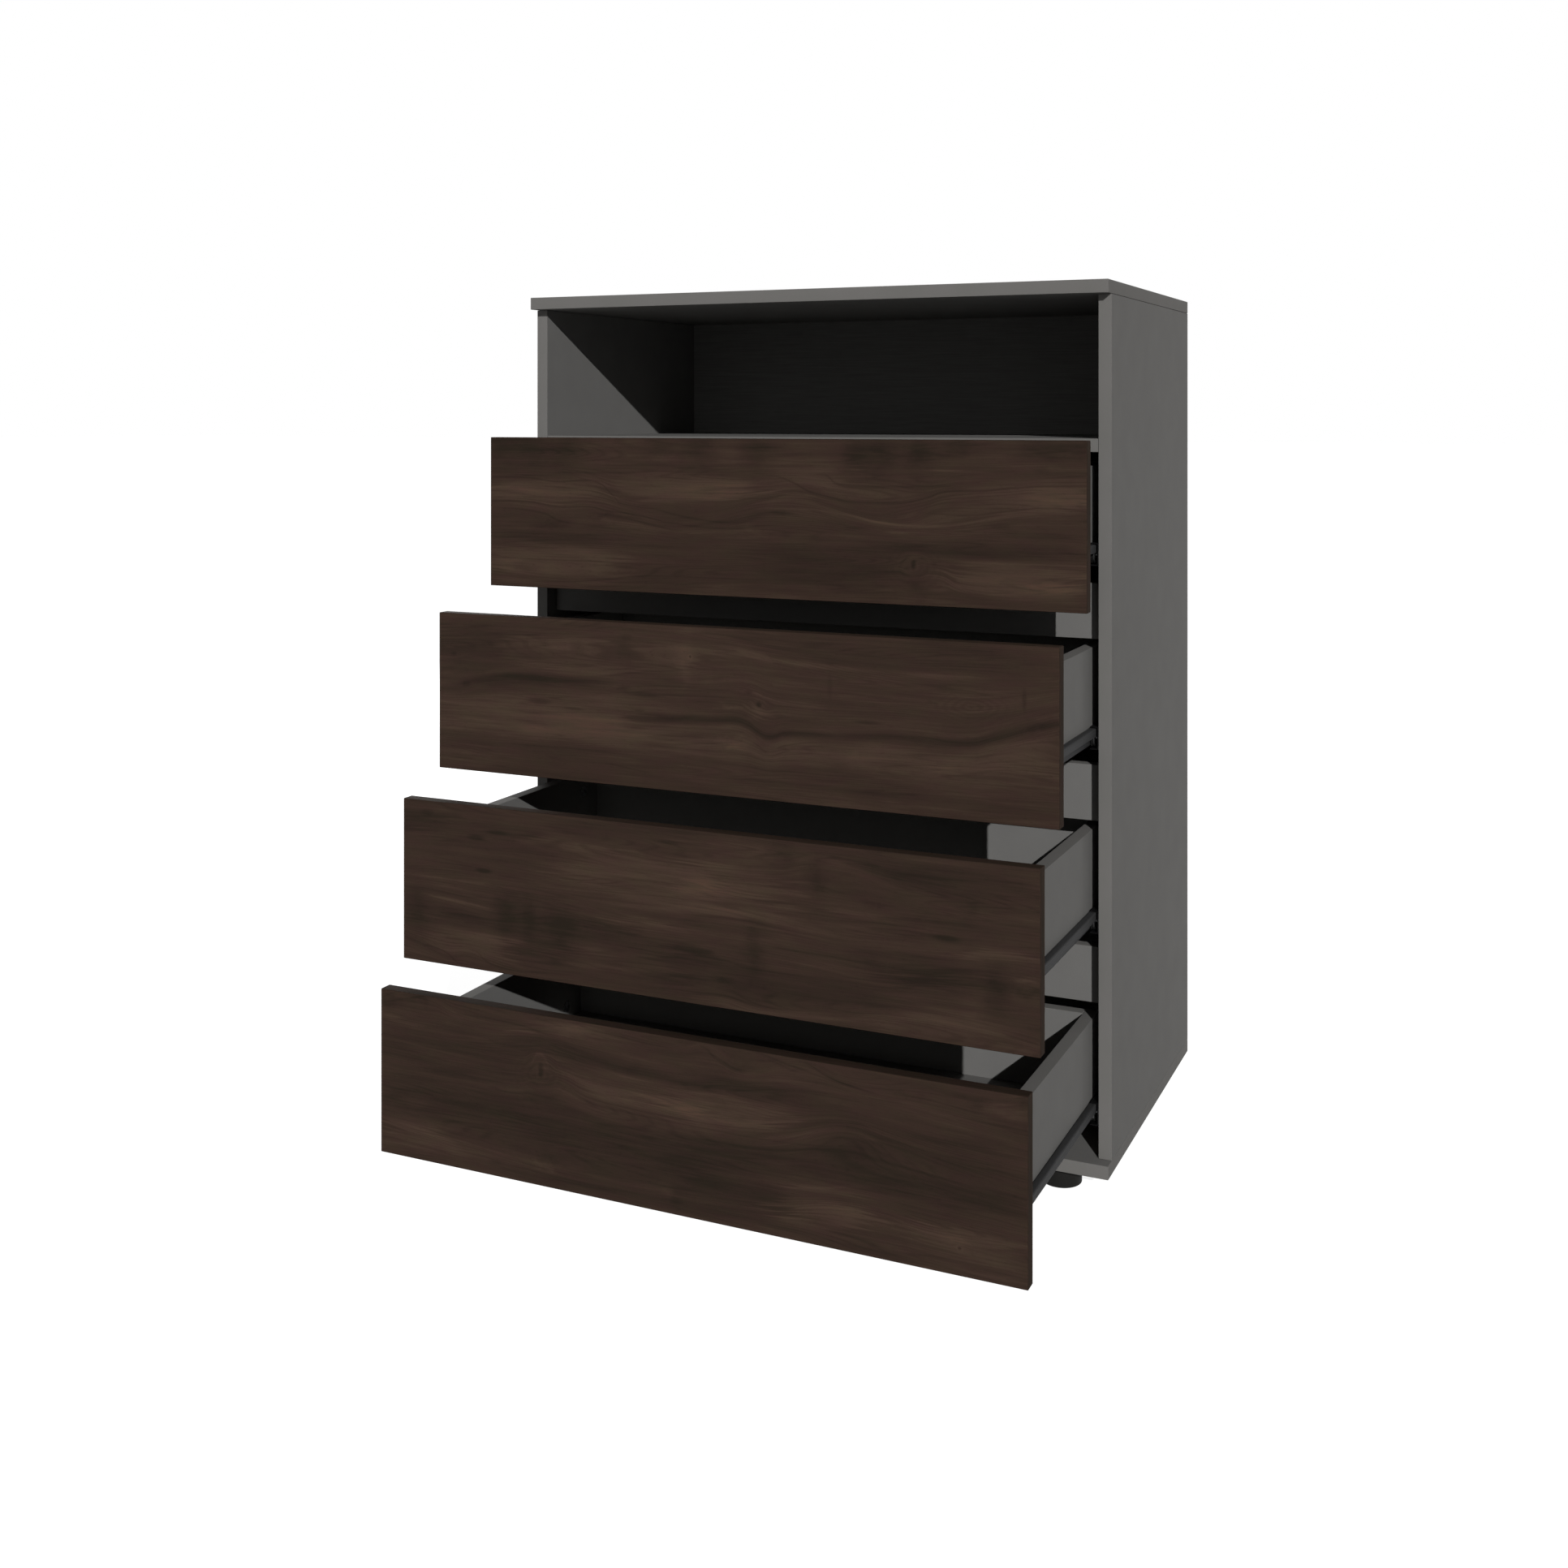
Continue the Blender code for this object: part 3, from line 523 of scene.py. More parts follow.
            (((252, 119), (280, 110), (330, 106), (400, 105), (450, 106), (520, 112)), 1.0, -6),
            (((256, 113), (285, 104), (330, 101), (400, 100), (500, 100), (560, 104), (600, 110)), 1.0, -5),
            (((170, 167), (190, 170), (215, 171)), 1.2, 9),
            (((110, 178), (160, 178), (200, 176), (235, 171)), 1.0, -8),
            (((20, 183), (40, 186), (62, 191)), 1.2, -8),
            (((425, 187), (440, 178), (475, 168)), 2.0, -8),
            (((480, 192), (530, 183), (600, 172), (625, 169)), 1.2, -8),
            (((540, 190), (572, 178), (620, 170)), 1.2, -6),
            (((503, 185), (537, 178)), 1.6, -6),
            (((600, 132), (640, 127), (680, 122)), 1.2, 5),
            (((600, 122), (650, 120), (690, 115)), 1.2, 5),
            (((388, 88), (500, 90), (560, 100), (600, 104), (640, 100), (700, 95), (787, 90)), 1.6, -6),
            (((572, 18), (600, 16), (632, 13)), 1.4, -6),
            (((500, 52), (560, 60), (612, 70)), 1.4, 5),
            (((208, 136), (213, 144), (218, 148), (226, 146), (231, 138)), 2.4, 7),
        ),
        "marks": ((40, 78, 28, 1.4, -6), (160, 16, 9, 2.5, -6), (765, 133, 20, 1.5, 5)),
        "rings": ((221, 124, 34, 24, 4, 1.6),),
        "knots": ((221, 130, 3.5, 8), (716, 28, 2, 1.6)),
    },
}

WALNUT_BAND = {"base": -12.5, "flow": (), "patches": (), "lines": (), "marks": (), "rings": (), "knots": ()}

# The print's tone runs over a palette. Noises are given by their length and height in millimetres.
WALNUT_PALETTE = ("#2a231d", "#342923", "#3c2f28", "#473930", "#523f35")
PALETTE_SPAN = 40.0  # steps of 1/255 from the darkest to the lightest stop
STREAKS = ((260, 22, 16.0), (120, 9, 14.0), (110, 2.8, 10.0), (36, 1.5, 6.0))  # noise and strength in steps
GROWTH_NOISE = (620, 34)  # its contours are the growth lines
GROWTH_COUNT = 26
GROWTH_STRENGTH = -5.0
GROWTH_CREST = 0.1  # a line shows where its wave is above this
FADE_NOISE = (120, 20)
FADE_SPAN = (0.4, 0.62)  # values of that noise over which the growth lines fade in
RAGGED_NOISES = ((120, 14, 50, 6), (60, 2.4, 55, 1))  # noise, and how far it moves an edge along and up
SMUDGE_HALF_LENGTH = 25  # patches up to this long are smudges across the grain
SMUDGE_NOISE = (26, 15)
SMUDGE_REACH = 11  # how far that noise frays a smudge
KNOT_REACH = (5, 2.2)  # the fibres open out this many eyes along and up from a knot
KNOT_OPENING = -0.75
KNOT_PARTS = ((2.6, 4.0), (1.0, -16.0))  # size in eyes and strength of the pale halo and the dark eye
RING_SCALE = math.pi / 10  # wave texture scale that puts one ring in a half length
RING_UNEVENNESS = {"Distortion": 4.5, "Detail": 2.0, "Detail Scale": 0.8}
PORE_NOISE = (9, 0.9)  # short dashes, drawn three times as wide as real pores so that they show
PORE_SPAN = (0.62, 0.78)
PORE_STRENGTH = -4.0
HUE_NOISE = (45, 14)
HUE_SPAN = (0.25, 0.75)
HUES = (0.488, 0.512)  # 0.5 leaves the colour as it is
PRINT_ROUGHNESS = (0.58, 0.74)
PRINT_RELIEF = 0.00004

# How far each step of the seed moves a noise, so that no two boards are alike. The fronts' seeds are their
# numbers. A use with several noises moves them apart by row steps.
BAND_SEED = 9
SEED_STEPS = {
    "streaks": 11.3, "growth": 3.3, "fade": 8.9, "ragged": 5.9, "smudge": 4.7, "pores": 5.1, "hue": 7.7,
}
ROW_STEPS = {"streaks": 3.7, "ragged": 2.3, "smudge": 1.9}

# How softly the ends and the edges of each kind of mark fall off
PATCH_SHAPE = {"Ends": 2.0, "Edges": 1.3}
SMUDGE_SHAPE = {"Ends": 1.0, "Edges": 1.0}
LINE_SHAPE = {"Ends": 4.0, "Edges": 1.0}
MARK_SHAPE = {"Ends": 1.0, "Edges": 1.6}


def height_curve(tree, across, points):
    """Height in metres of a line through points in millimetres, at each place across; also its curve node."""
    inputs = {0: across, 1: 1000 / FRONT_WIDTH_MM}
    share = add(tree, "ShaderNodeMath", inputs, operation="MULTIPLY").outputs[0]
    curve = add(tree, "ShaderNodeFloatCurve", {"Value": share})
    stops = curve.mapping.curves[0].points
    stops[0].location = (0.0, points[0][1] / FRONT_HEIGHT_MM)
    stops[1].location = (1.0, points[-1][1] / FRONT_HEIGHT_MM)
    for point_across, up in points:
        if 0 < point_across < int(FRONT_WIDTH_MM):
            stops.new(point_across / FRONT_WIDTH_MM, up / FRONT_HEIGHT_MM)
    curve.mapping.update()
    inputs = {0: curve.outputs[0], 1: FRONT_HEIGHT_MM / 1000}
    return add(tree, "ShaderNodeMath", inputs, operation="MULTIPLY").outputs[0], curve


def bend_fibres(tree, across, up, level_mm, reach_mm, points):
    """Height coordinate in which the fibres through the points lie at one level; also its curve node."""
    line, curve = height_curve(tree, across, points)
    follow = fall(tree, squared_share(tree, up, line, reach_mm / 1000))
    shift = add(tree, "ShaderNodeMath", {0: level_mm / 1000, 1: line}, operation="SUBTRACT").outputs[0]
    inputs = {0: shift, 1: follow, 2: up}
    return add(tree, "ShaderNodeMath", inputs, operation="MULTIPLY_ADD").outputs[0], curve


def straightened(curves, flow, across_mm, up_mm):
    """Height that a place on the front has in the bent fibres' coordinates, in millimetres."""
    for curve, (level_mm, reach_mm, points) in zip(curves, flow):
        line = curve.mapping.evaluate(curve.mapping.curves[0], across_mm / FRONT_WIDTH_MM) * FRONT_HEIGHT_MM
        up_mm += (level_mm - line) * math.exp(-(((up_mm - line) / reach_mm) ** 2))
    return up_mm


def print_noise(tree, place, use, size_mm, seed, row=0, detail=1.0, roughness=0.5):
    """Noise from 0 to 1 on the flat of the print, size_mm long and high."""
    offset = SEED_STEPS[use] * seed + ROW_STEPS.get(use, 0.0) * row
    return stretched_noise(tree, place, (*size_mm, 1000), detail, roughness, offset, "2D")


def nudged(tree, straight, noise, reach_mm):
    """A coordinate moved either way by a noise, at most reach_mm."""
    swing = add(tree, "ShaderNodeMath", {0: noise, 1: 0.5}, operation="SUBTRACT").outputs[0]
    inputs = {0: swing, 1: 2 * reach_mm / 1000, 2: straight}
    return add(tree, "ShaderNodeMath", inputs, operation="MULTIPLY_ADD").outputs[0]


def marked(tree, mark, tone, place, middle_mm, half_size_mm, strength, shape):
    """The tone with an oval mark added to it. Its strength is a share of the palette.

    place is the pair of coordinates, along and up, that it is drawn on. The height of its middle can also be
    a link in metres, and its strength a link.
    """
    along, up = middle_mm
    inputs = {
        "X": place[0],
        "Y": place[1],
        "Across": along / 1000,
        "Up": up if isinstance(up, bpy.types.NodeSocket) else up / 1000,
        "Half Length": half_size_mm[0] / 1000,
        "Half Height": half_size_mm[1] / 1000,
        "Strength": strength,
        "Sum": tone,
    }
    return add(tree, "ShaderNodeGroup", {**inputs, **shape}, node_tree=mark).outputs[0]


def fibre_height(tree, mark, look, across, up):
    """Height as the fibres lie, which open out round knots and follow the flow; also its curve nodes."""
    height = up
    for along_mm, up_mm, *eye in look["knots"]:
        reach = [half * times for half, times in zip(eye, KNOT_REACH)]
        share = marked(tree, mark, 1.0, (across, up), (along_mm, up_mm), reach, KNOT_OPENING, PATCH_SHAPE)
        rise = add(tree, "ShaderNodeMath", {0: height, 1: up_mm / 1000}, operation="SUBTRACT").outputs[0]
        inputs = {0: rise, 1: share, 2: up_mm / 1000}
        height = add(tree, "ShaderNodeMath", inputs, operation="MULTIPLY_ADD").outputs[0]
    curves = []
    for level_mm, reach_mm, points in look["flow"]:
        height, curve = bend_fibres(tree, across, height, level_mm, reach_mm, points)
        curves.append(curve)
    return height, curves


def print_streaks(tree, grain, base, seed):
    """The tone of long streaks of all sizes, and the finest of them."""
    tone = base / PALETTE_SPAN + 0.5 - sum(streak[2] for streak in STREAKS) / PALETTE_SPAN / 2
    for row, (length, height, strength) in enumerate(STREAKS):
        fibres = print_noise(tree, grain, "streaks", (length, height), seed, row, 2.0, 0.55)
        inputs = {0: fibres, 1: strength / PALETTE_SPAN, 2: tone}
        tone = add(tree, "ShaderNodeMath", inputs, operation="MULTIPLY_ADD").outputs[0]
    return tone, fibres


def print_growth(tree, grain, tone, seed):
    """The tone with thin dark growth lines, which come and go."""
    slow = print_noise(tree, grain, "growth", GROWTH_NOISE, seed, detail=1.5, roughness=0.4)
    inputs = {0: slow, 1: 2 * math.pi * GROWTH_COUNT}
    turns = add(tree, "ShaderNodeMath", inputs, operation="MULTIPLY").outputs[0]
    wave = add(tree, "ShaderNodeMath", {0: turns}, operation="SINE").outputs[0]
    line = add(tree, "ShaderNodeMapRange", {"Value": wave, "From Min": GROWTH_CREST}).outputs[0]
    faded = print_noise(tree, grain, "fade", FADE_NOISE, seed)
    inputs = {"Value": faded, "From Min": FADE_SPAN[0], "From Max": FADE_SPAN[1]}
    depth = add(tree, "ShaderNodeMapRange", {**inputs, "To Max": GROWTH_STRENGTH / PALETTE_SPAN}).outputs[0]
    return add(tree, "ShaderNodeMath", {0: line, 1: depth, 2: tone}, operation="MULTIPLY_ADD").outputs[0]


def print_patches(tree, mark, tone, look, place, fibre_up, curves, seed):
    """The tone with the front's dark and light areas: long ones with ragged ends, short ones frayed."""
    across, up = place
    ragged = [across, fibre_up]
    grain = add(tree, "ShaderNodeCombineXYZ", {"X": across, "Y": fibre_up}).outputs[0]
    for row, (length, height, *reach) in enumerate(RAGGED_NOISES):
        noise = print_noise(tree, grain, "ragged", (length, height), seed, row)
        ragged = [nudged(tree, straight, noise, reach_mm) for straight, reach_mm in zip(ragged, reach)]
    flat = add(tree, "ShaderNodeCombineXYZ", {"X": across, "Y": up}).outputs[0]
    frayed = []
    for row, straight in enumerate(place):
        noise = print_noise(tree, flat, "smudge", SMUDGE_NOISE, seed, row, 3.0, 0.6)
        frayed.append(nudged(tree, straight, noise, SMUDGE_REACH))
    for along_mm, up_mm, half_length, half_height, strength in look["patches"]:
        drawn_on, shape = frayed, SMUDGE_SHAPE
        if half_length > SMUDGE_HALF_LENGTH:
            drawn_on, shape = ragged, PATCH_SHAPE
            up_mm = straightened(curves, look["flow"], along_mm, up_mm)
        size = (half_length, half_height)
        tone = marked(tree, mark, tone, drawn_on, (along_mm, up_mm), size, strength / PALETTE_SPAN, shape)
    return tone


def print_lines_and_marks(tree, mark, tone, look, place):
    """The tone with the front's single fibres and its short crisp marks."""
    for points, half_height, strength in look["lines"]:
        line, curve = height_curve(tree, place[0], points)
        first, last = points[0][0], points[-1][0]
        size = ((last - first) / 2, half_height)
        middle = ((first + last) / 2, line)
        tone = marked(tree, mark, tone, place, middle, size, strength / PALETTE_SPAN, LINE_SHAPE)
    for along_mm, up_mm, half_length, half_height, strength in look["marks"]:
        size = (half_length, half_height)
        tone = marked(tree, mark, tone, place, (along_mm, up_mm), size, strength / PALETTE_SPAN, MARK_SHAPE)
    return tone


def print_knots(tree, mark, tone, look, place):
    """The tone with the front's oval growth rings, and the halos and eyes of its knots."""
    flat = add(tree, "ShaderNodeCombineXYZ", {"X": place[0], "Y": place[1]}).outputs[0]
    for along_mm, up_mm, half_length, half_height, count, strength in look["rings"]:
        shift = (-along_mm / half_length, -up_mm / half_height, 0.0)
        scale = (1000 / half_length, 1000 / half_height, 1.0)
        oval = add(tree, "ShaderNodeMapping", {"Vector": flat, "Location": shift, "Scale": scale}).outputs[0]
        inputs = {"Vector": oval, "Scale": count * RING_SCALE, **RING_UNEVENNESS}
        wave = add(tree, "ShaderNodeTexWave", inputs, wave_type="RINGS", rings_direction="SPHERICAL")
        share = strength / PALETTE_SPAN
        inputs = {"Value": wave.outputs["Fac"], "To Min": -share, "To Max": share}
        swing = add(tree, "ShaderNodeMapRange", inputs).outputs[0]
        size = (half_length, half_height)
        tone = marked(tree, mark, tone, place, (along_mm, up_mm), size, swing, MARK_SHAPE)
    for along_mm, up_mm, *eye in look["knots"]:
        for times, strength in KNOT_PARTS:
            size = [half * times for half in eye]
            share = strength / PALETTE_SPAN
            tone = marked(tree, mark, tone, place, (along_mm, up_mm), size, share, MARK_SHAPE)
    return tone


def walnut_melamine(name, look, mark, seed):
    """Walnut-printed melamine: dark brown and matt, with long low-contrast streaks, knots and fine pores."""
    material, tree = new_material(name)
    uv_map = add(tree, "ShaderNodeUVMap", uv_map="metres").outputs["UV"]
    parts = add(tree, "ShaderNodeSeparateXYZ", {0: uv_map}).outputs
    place = (parts["X"], parts["Y"])
    fibre_up, curves = fibre_height(tree, mark, look, *place)
    grain = add(tree, "ShaderNodeCombineXYZ", {"X": place[0], "Y": fibre_up}).outputs[0]
    tone, fibres = print_streaks(tree, grain, look["base"], seed)
    tone = print_growth(tree, grain, tone, seed)
    tone = print_patches(tree, mark, tone, look, place, fibre_up, curves, seed)
    tone = print_lines_and_marks(tree, mark, tone, look, place)
    tone = print_knots(tree, mark, tone, look, place)
    pores = print_noise(tree, grain, "pores", PORE_NOISE, seed)
    inputs = {"Value": pores, "From Min": PORE_SPAN[0], "From Max": PORE_SPAN[1]}
    dashes = add(tree, "ShaderNodeMapRange", {**inputs, "To Max": PORE_STRENGTH / PALETTE_SPAN}).outputs[0]
    tone = add(tree, "ShaderNodeMath", {0: tone, 1: dashes}, operation="ADD").outputs[0]
    ramp = add(tree, "ShaderNodeValToRGB", {"Fac": tone})
    stops = ramp.color_ramp.elements
    stops[0].color = linear(WALNUT_PALETTE[0])
    stops[1].color = linear(WALNUT_PALETTE[-1])
    for number, colour in enumerate(WALNUT_PALETTE[1:-1], start=1):
        stops.new(number / (len(WALNUT_PALETTE) - 1)).color = linear(colour)
    drift = print_noise(tree, grain, "hue", HUE_NOISE, seed, detail=2.0, roughness=0.6)
    inputs = {"Value": drift, "From Min": HUE_SPAN[0], "From Max": HUE_SPAN[1]}
    hue = add(tree, "ShaderNodeMapRange", {**inputs, "To Min": HUES[0], "To Max": HUES[1]}).outputs[0]
    inks = add(tree, "ShaderNodeHueSaturation", {"Hue": hue, "Color": ramp.outputs[0]}).outputs[0]
    inputs = {"Value": fibres, "To Min": PRINT_ROUGHNESS[0], "To Max": PRINT_ROUGHNESS[1]}
    roughness = add(tree, "ShaderNodeMapRange", inputs).outputs[0]
    finish_material(tree, inks, roughness, fibres, PRINT_RELIEF, Specular_IOR_Level=0.008)
    return material


def plain_mesh(shape, name):
    """The mesh of a bmesh, which is freed."""
    mesh = bpy.data.meshes.new(name)
    shape.to_mesh(mesh)
    shape.free()
    return mesh


def new_piece(name, mesh, body, slot, *materials, stands_for=()):
    """Put a finished mesh in the scene, on the body that it moves with."""
    for material in materials:
        mesh.materials.append(material)
    piece = bpy.data.objects.new(name, mesh)
    bpy.context.scene.collection.objects.link(piece)
    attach(piece, body)
    if stands_for:
        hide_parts(*stands_for)
    return piece


def dress_board(node, body, slot, materials, thin, bare_side=0):
    """A board after its CAD solid: its own finish on faces, edge bands and cuts, and a UV map in metres.

    The materials are those of the face, the edge bands, the cuts and the unprinted face. thin is the axis of
    its thickness, and bare_side the way along it that its unprinted face looks, if it has one. Each side of
    the board has its own stretch of the UV map, along the grain first, so that what is printed on the face
    doesn't show on the edge bands.
    """
    low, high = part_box(node)
    shape = bmesh.new()
    shape.from_mesh(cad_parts[node].data)
    bmesh.ops.remove_doubles(shape, verts=shape.verts, dist=WELD)
    bmesh.ops.dissolve_limit(shape, angle_limit=FLAT, verts=shape.verts, edges=shape.edges)
    metres = shape.loops.layers.uv.new("metres")
    for face in shape.faces:
        normal = face.normal
        axis = thin if abs(normal[thin]) > 0.5 else max((0, 1, 2), key=lambda i: abs(normal[i]))
        along = 2 if axis == 0 else 0
        across = 3 - axis - along
        front = normal[axis] < 0
        level = low[axis] if front else high[axis]
        if abs(face.calc_center_median()[axis] - level) > FLUSH and abs(normal[axis]) > SQUARE:
            face.material_index = 2
        elif abs(normal[thin]) < SQUARE:
            face.material_index = 1
        elif bare_side * normal[thin] > 0:
            face.material_index = 3
        else:
            face.material_index = 0
        side = 0 if axis == thin and front else 1 + 2 * axis + front
        for corner in face.loops:
            place = corner.vert.co - low
            corner[metres].uv = (place[along] + UV_STRIDE * side, place[across])
    mesh = smooth(plain_mesh(shape, node), BOARD_FOLD)
    piece = new_piece(f"{node}_board", mesh, body, slot, *materials, stands_for=(node,))
    rounding = piece.modifiers.new("soft_edges", "WEIGHTED_NORMAL")
    rounding.keep_sharp = True


def dress_boards(finish):
    """Boards of the carcass and of the drawers, each with the axis of its thickness."""
    grey = (finish["grey_face"], finish["grey_band"], finish["chipboard"])
    hardboard = (finish["hardboard"], finish["brown_board"], finish["brown_board"], finish["brown_board"])
    carcass = {"top_panel": 2, "bottom_panel": 2, "cubby_shelf": 2}
    carcass.update({"left_side_panel": 0, "right_side_panel": 0})
    carcass.update({f"cross_rail_{number}": 1 for number in (1, 2, 3)})
    for node, thin in carcass.items():
        dress_board(node, "carcass", "grey_laminate", grey, thin)
    dress_board("back_panel", "carcass", "grey_hardboard", hardboard, 1, bare_side=1)
    for number in DRAWERS:
        body = f"drawer_{number}"
        walnut = (finish[f"walnut_{number}"], finish["walnut_band"], finish["chipboard"])
        dress_board(f"{body}_front", body, "walnut_laminate", walnut, 1)
        for board, thin in (("left_side", 0), ("right_side", 0), ("back", 1)):
            dress_board(f"{body}_{board}", body, "grey_laminate", grey, thin)
        dress_board(f"{body}_bottom", body, "grey_hardboard", hardboard, 2, bare_side=-1)


def bent_outline(corners, steps=4):
    """Closed outline of steel sheet bent at the corners of its middle line."""
    points = [Vector(corner) for corner in corners]
    path = [(points[0], (points[1] - points[0]).normalized())]
    for before, corner, after in zip(points, points[1:], points[2:]):
        come = (corner - before).normalized()
        leave = (after - corner).normalized()
        turn = math.atan2(come.x * leave.y - come.y * leave.x, come.dot(leave))
        start = corner - come * BEND_RADIUS * math.tan(abs(turn) / 2)
        inward = Vector((-come.y, come.x)) * math.copysign(BEND_RADIUS, turn)
        for step in range(steps + 1):
            swing = Matrix.Rotation(turn * step / steps, 2)
            path.append((start + inward - swing @ inward, swing @ come))
    path.append((points[-1], (points[-1] - points[-2]).normalized()))
    sides = [Vector((-way.y, way.x)) * STEEL / 2 for place, way in path]
    left = [place + side for (place, way), side in zip(path, sides)]
    right = [place - side for (place, way), side in zip(path, sides)]
    return left + right[::-1]


def prism(outline, axis, start, end):
    """Closed mesh of an outline pushed along an axis. The outline's values fill the other axes in order."""
    shape = bmesh.new()
    rings = []
    for level in (start, end):
        ring = []
        for first, second in outline:
            place = [first, second]
            place.insert(axis, level)
            ring.append(shape.verts.new(place))
        rings.append(ring)
        shape.faces.new(ring)
    for index in range(len(outline)):
        after = (index + 1) % len(outline)
        shape.faces.new((rings[0][index], rings[0][after], rings[1][after], rings[1][index]))
    bmesh.ops.recalc_face_normals(shape, faces=shape.faces)
    return plain_mesh(shape, "prism")


def joined(meshes):
    """Several meshes as one."""
    shape = bmesh.new()
    for mesh in meshes:
        shape.from_mesh(mesh)
        bpy.data.meshes.remove(mesh)
    return plain_mesh(shape, "joined")


def cut_away(stock, tool):
    """The stock mesh less the tool mesh."""
    objects = [bpy.data.objects.new("cut", mesh) for mesh in (stock, tool)]
    for item in objects:
        bpy.context.scene.collection.objects.link(item)
    cut = objects[0].modifiers.new("cut", "BOOLEAN")
    cut.object = objects[1]
    cut.solver = "EXACT"
    depsgraph = bpy.context.evaluated_depsgraph_get()
    result = bpy.data.meshes.new_from_object(objects[0].evaluated_get(depsgraph))
    for item in objects:
        bpy.data.objects.remove(item)
    for mesh in (stock, tool):
        bpy.data.meshes.remove(mesh)
    return result


def slots(places, height, start, end, steps=8):
    """Cutters, from start to end in X, for slots with round ends along the upright web of a runner."""
    radius = SLOT_WIDTH / 2
    straight = (SLOT_LENGTH - SLOT_WIDTH) / 2
    cutters = []
    for place in places:
        outline = []
        for end_sign, first in ((1, -90), (-1, 90)):
            for step in range(steps + 1):
                angle = math.radians(first + 180 * step / steps)
                along = place + end_sign * straight + radius * math.cos(angle)
                outline.append((along, height + radius * math.sin(angle)))
        cutters.append(prism(outline, 0, start, end))
    return cutters


def turned(profile, steps):
    """Closed mesh of a profile of (along, radius) points turned about X. A radius of 0 is a pole."""
    shape = bmesh.new()
    rings = []
    for along, radius in profile:
        ring = []
        for step in range(steps if radius else 1):
            angle = 2 * math.pi * step / steps
            ring.append(shape.verts.new((along, radius * math.cos(angle), radius * math.sin(angle))))
        rings.append(ring)
    pairs = list(zip(rings, rings[1:]))
    if profile[0][1] and profile[-1][1]:
        pairs.append((rings[-1], rings[0]))
    for one, other in pairs:
        for step in range(steps):
            after = (step + 1) % steps
            corners = [one[step % len(one)], one[after % len(one)]]
            corners += [other[after % len(other)], other[step % len(other)]]
            corners = list(dict.fromkeys(corners))
            if len(corners) > 2:
                shape.faces.new(corners)
    bmesh.ops.recalc_face_normals(shape, faces=shape.faces)
    return smooth(plain_mesh(shape, "turned"))


def placed(mesh, place, sign=1, turn=None):
    """A copy of a mesh, mirrored in X where sign is -1, then turned and moved, with its faces outwards."""
    copy = mesh.copy()
    if turn is not None:
        copy.transform(turn)
    copy.transform(Matrix.Translation(Vector(place)) @ Matrix.Diagonal((sign, 1.0, 1.0, 1.0)))
    if sign < 0:
        copy.flip_normals()
    return copy


def smooth(mesh, fold=HARDWARE_FOLD):
    """Round stretches smooth, and folds steeper than fold sharp."""
    mesh.shade_smooth()
    mesh.set_sharp_from_angle(angle=fold)
    return mesh


def angle_mesh(length):
    """Drawer half of a runner: a folded angle, slotted in its web and notched at its rear for the roller."""
    sheet = prism(bent_outline(ANGLE_CORNERS), 1, 0.0, length)
    notch = prism(NOTCH_CORNERS, 1, length - NOTCH_LENGTH, length + PAST_END)
    return smooth(cut_away(sheet, joined([notch] + slots(ANGLE_SLOTS, ANGLE_SCREW_HEIGHT, *ANGLE_WEB))))


def channel_mesh(length):
    """Cabinet half of a runner: a folded channel, slotted in its web."""
    sheet = prism(bent_outline(CHANNEL_CORNERS), 1, 0.0, length)
    return smooth(cut_away(sheet, joined(slots(CHANNEL_SLOTS, FRONT_ROLLER["height"], *CHANNEL_WEB))))


def arc(centre, radius, first, last, steps=4):
    """Points of an arc as (along, radius) pairs, angles in degrees from the turning axis."""
    angles = [math.radians(first + (last - first) * step / steps) for step in range(steps + 1)]
    return [(centre[0] + radius * math.cos(angle), centre[1] + radius * math.sin(angle)) for angle in angles]


def roller_mesh(radius):
    """A moulded roller with rounded tyre edges, a shallow ring in each face and a recess for its pin."""
    edge = 0.0008
    hub = 0.0048
    slope = 0.0005
    sunk = 0.0006
    rim = radius - 0.0024
    bore = 0.0018
    recess = 0.0009
    width = ROLLER_WIDTH
    profile = [(recess, bore), (recess, 0.0034), (0.0, 0.0036), (0.0, hub)]
    profile += [(sunk, hub + slope), (sunk, rim - slope), (0.0, rim)]
    profile += arc((edge, radius - edge), edge, 180, 90)
    profile += arc((width - edge, radius - edge), edge, 90, 0)
    profile += [(width, rim), (width - sunk, rim - slope)]
    profile += [(width - sunk, hub + slope), (width, hub), (width, bore)]
    return turned(profile, ROLLER_SIDES)


def front_pin_mesh():
    """Riveted pin of a front roller, from its domed head in the roller's recess to the channel's web."""
    head = [(-0.0002, 0.0), (-0.0002, 0.0016), (0.0, 0.0026)]
    head += [(0.0003, PIN_HEAD_RADIUS), (0.0006, PIN_HEAD_RADIUS)]
    shank = [(0.0006, PIN_RADIUS), (0.0055, PIN_RADIUS)]
    shoulder = [(0.0055, 0.0022), (0.0092, 0.0022), (0.0092, 0.0)]
    return turned(head + shank + shoulder, PIN_SIDES)


def rear_pin_mesh():
    """Riveted pin of a rear roller, from the web of the angle to its peened end."""
    head = [(-0.0012, 0.0), (-0.0012, PIN_HEAD_RADIUS), (-0.0001, PIN_HEAD_RADIUS)]
    shank = [(-0.0001, PIN_RADIUS), (0.0051, PIN_RADIUS)]
    peened_end = [(0.0051, 0.0027), (0.0054, 0.0026), (0.0057, 0.0018), (0.0057, 0.0)]
    return turned(head + shank + peened_end, PIN_SIDES)


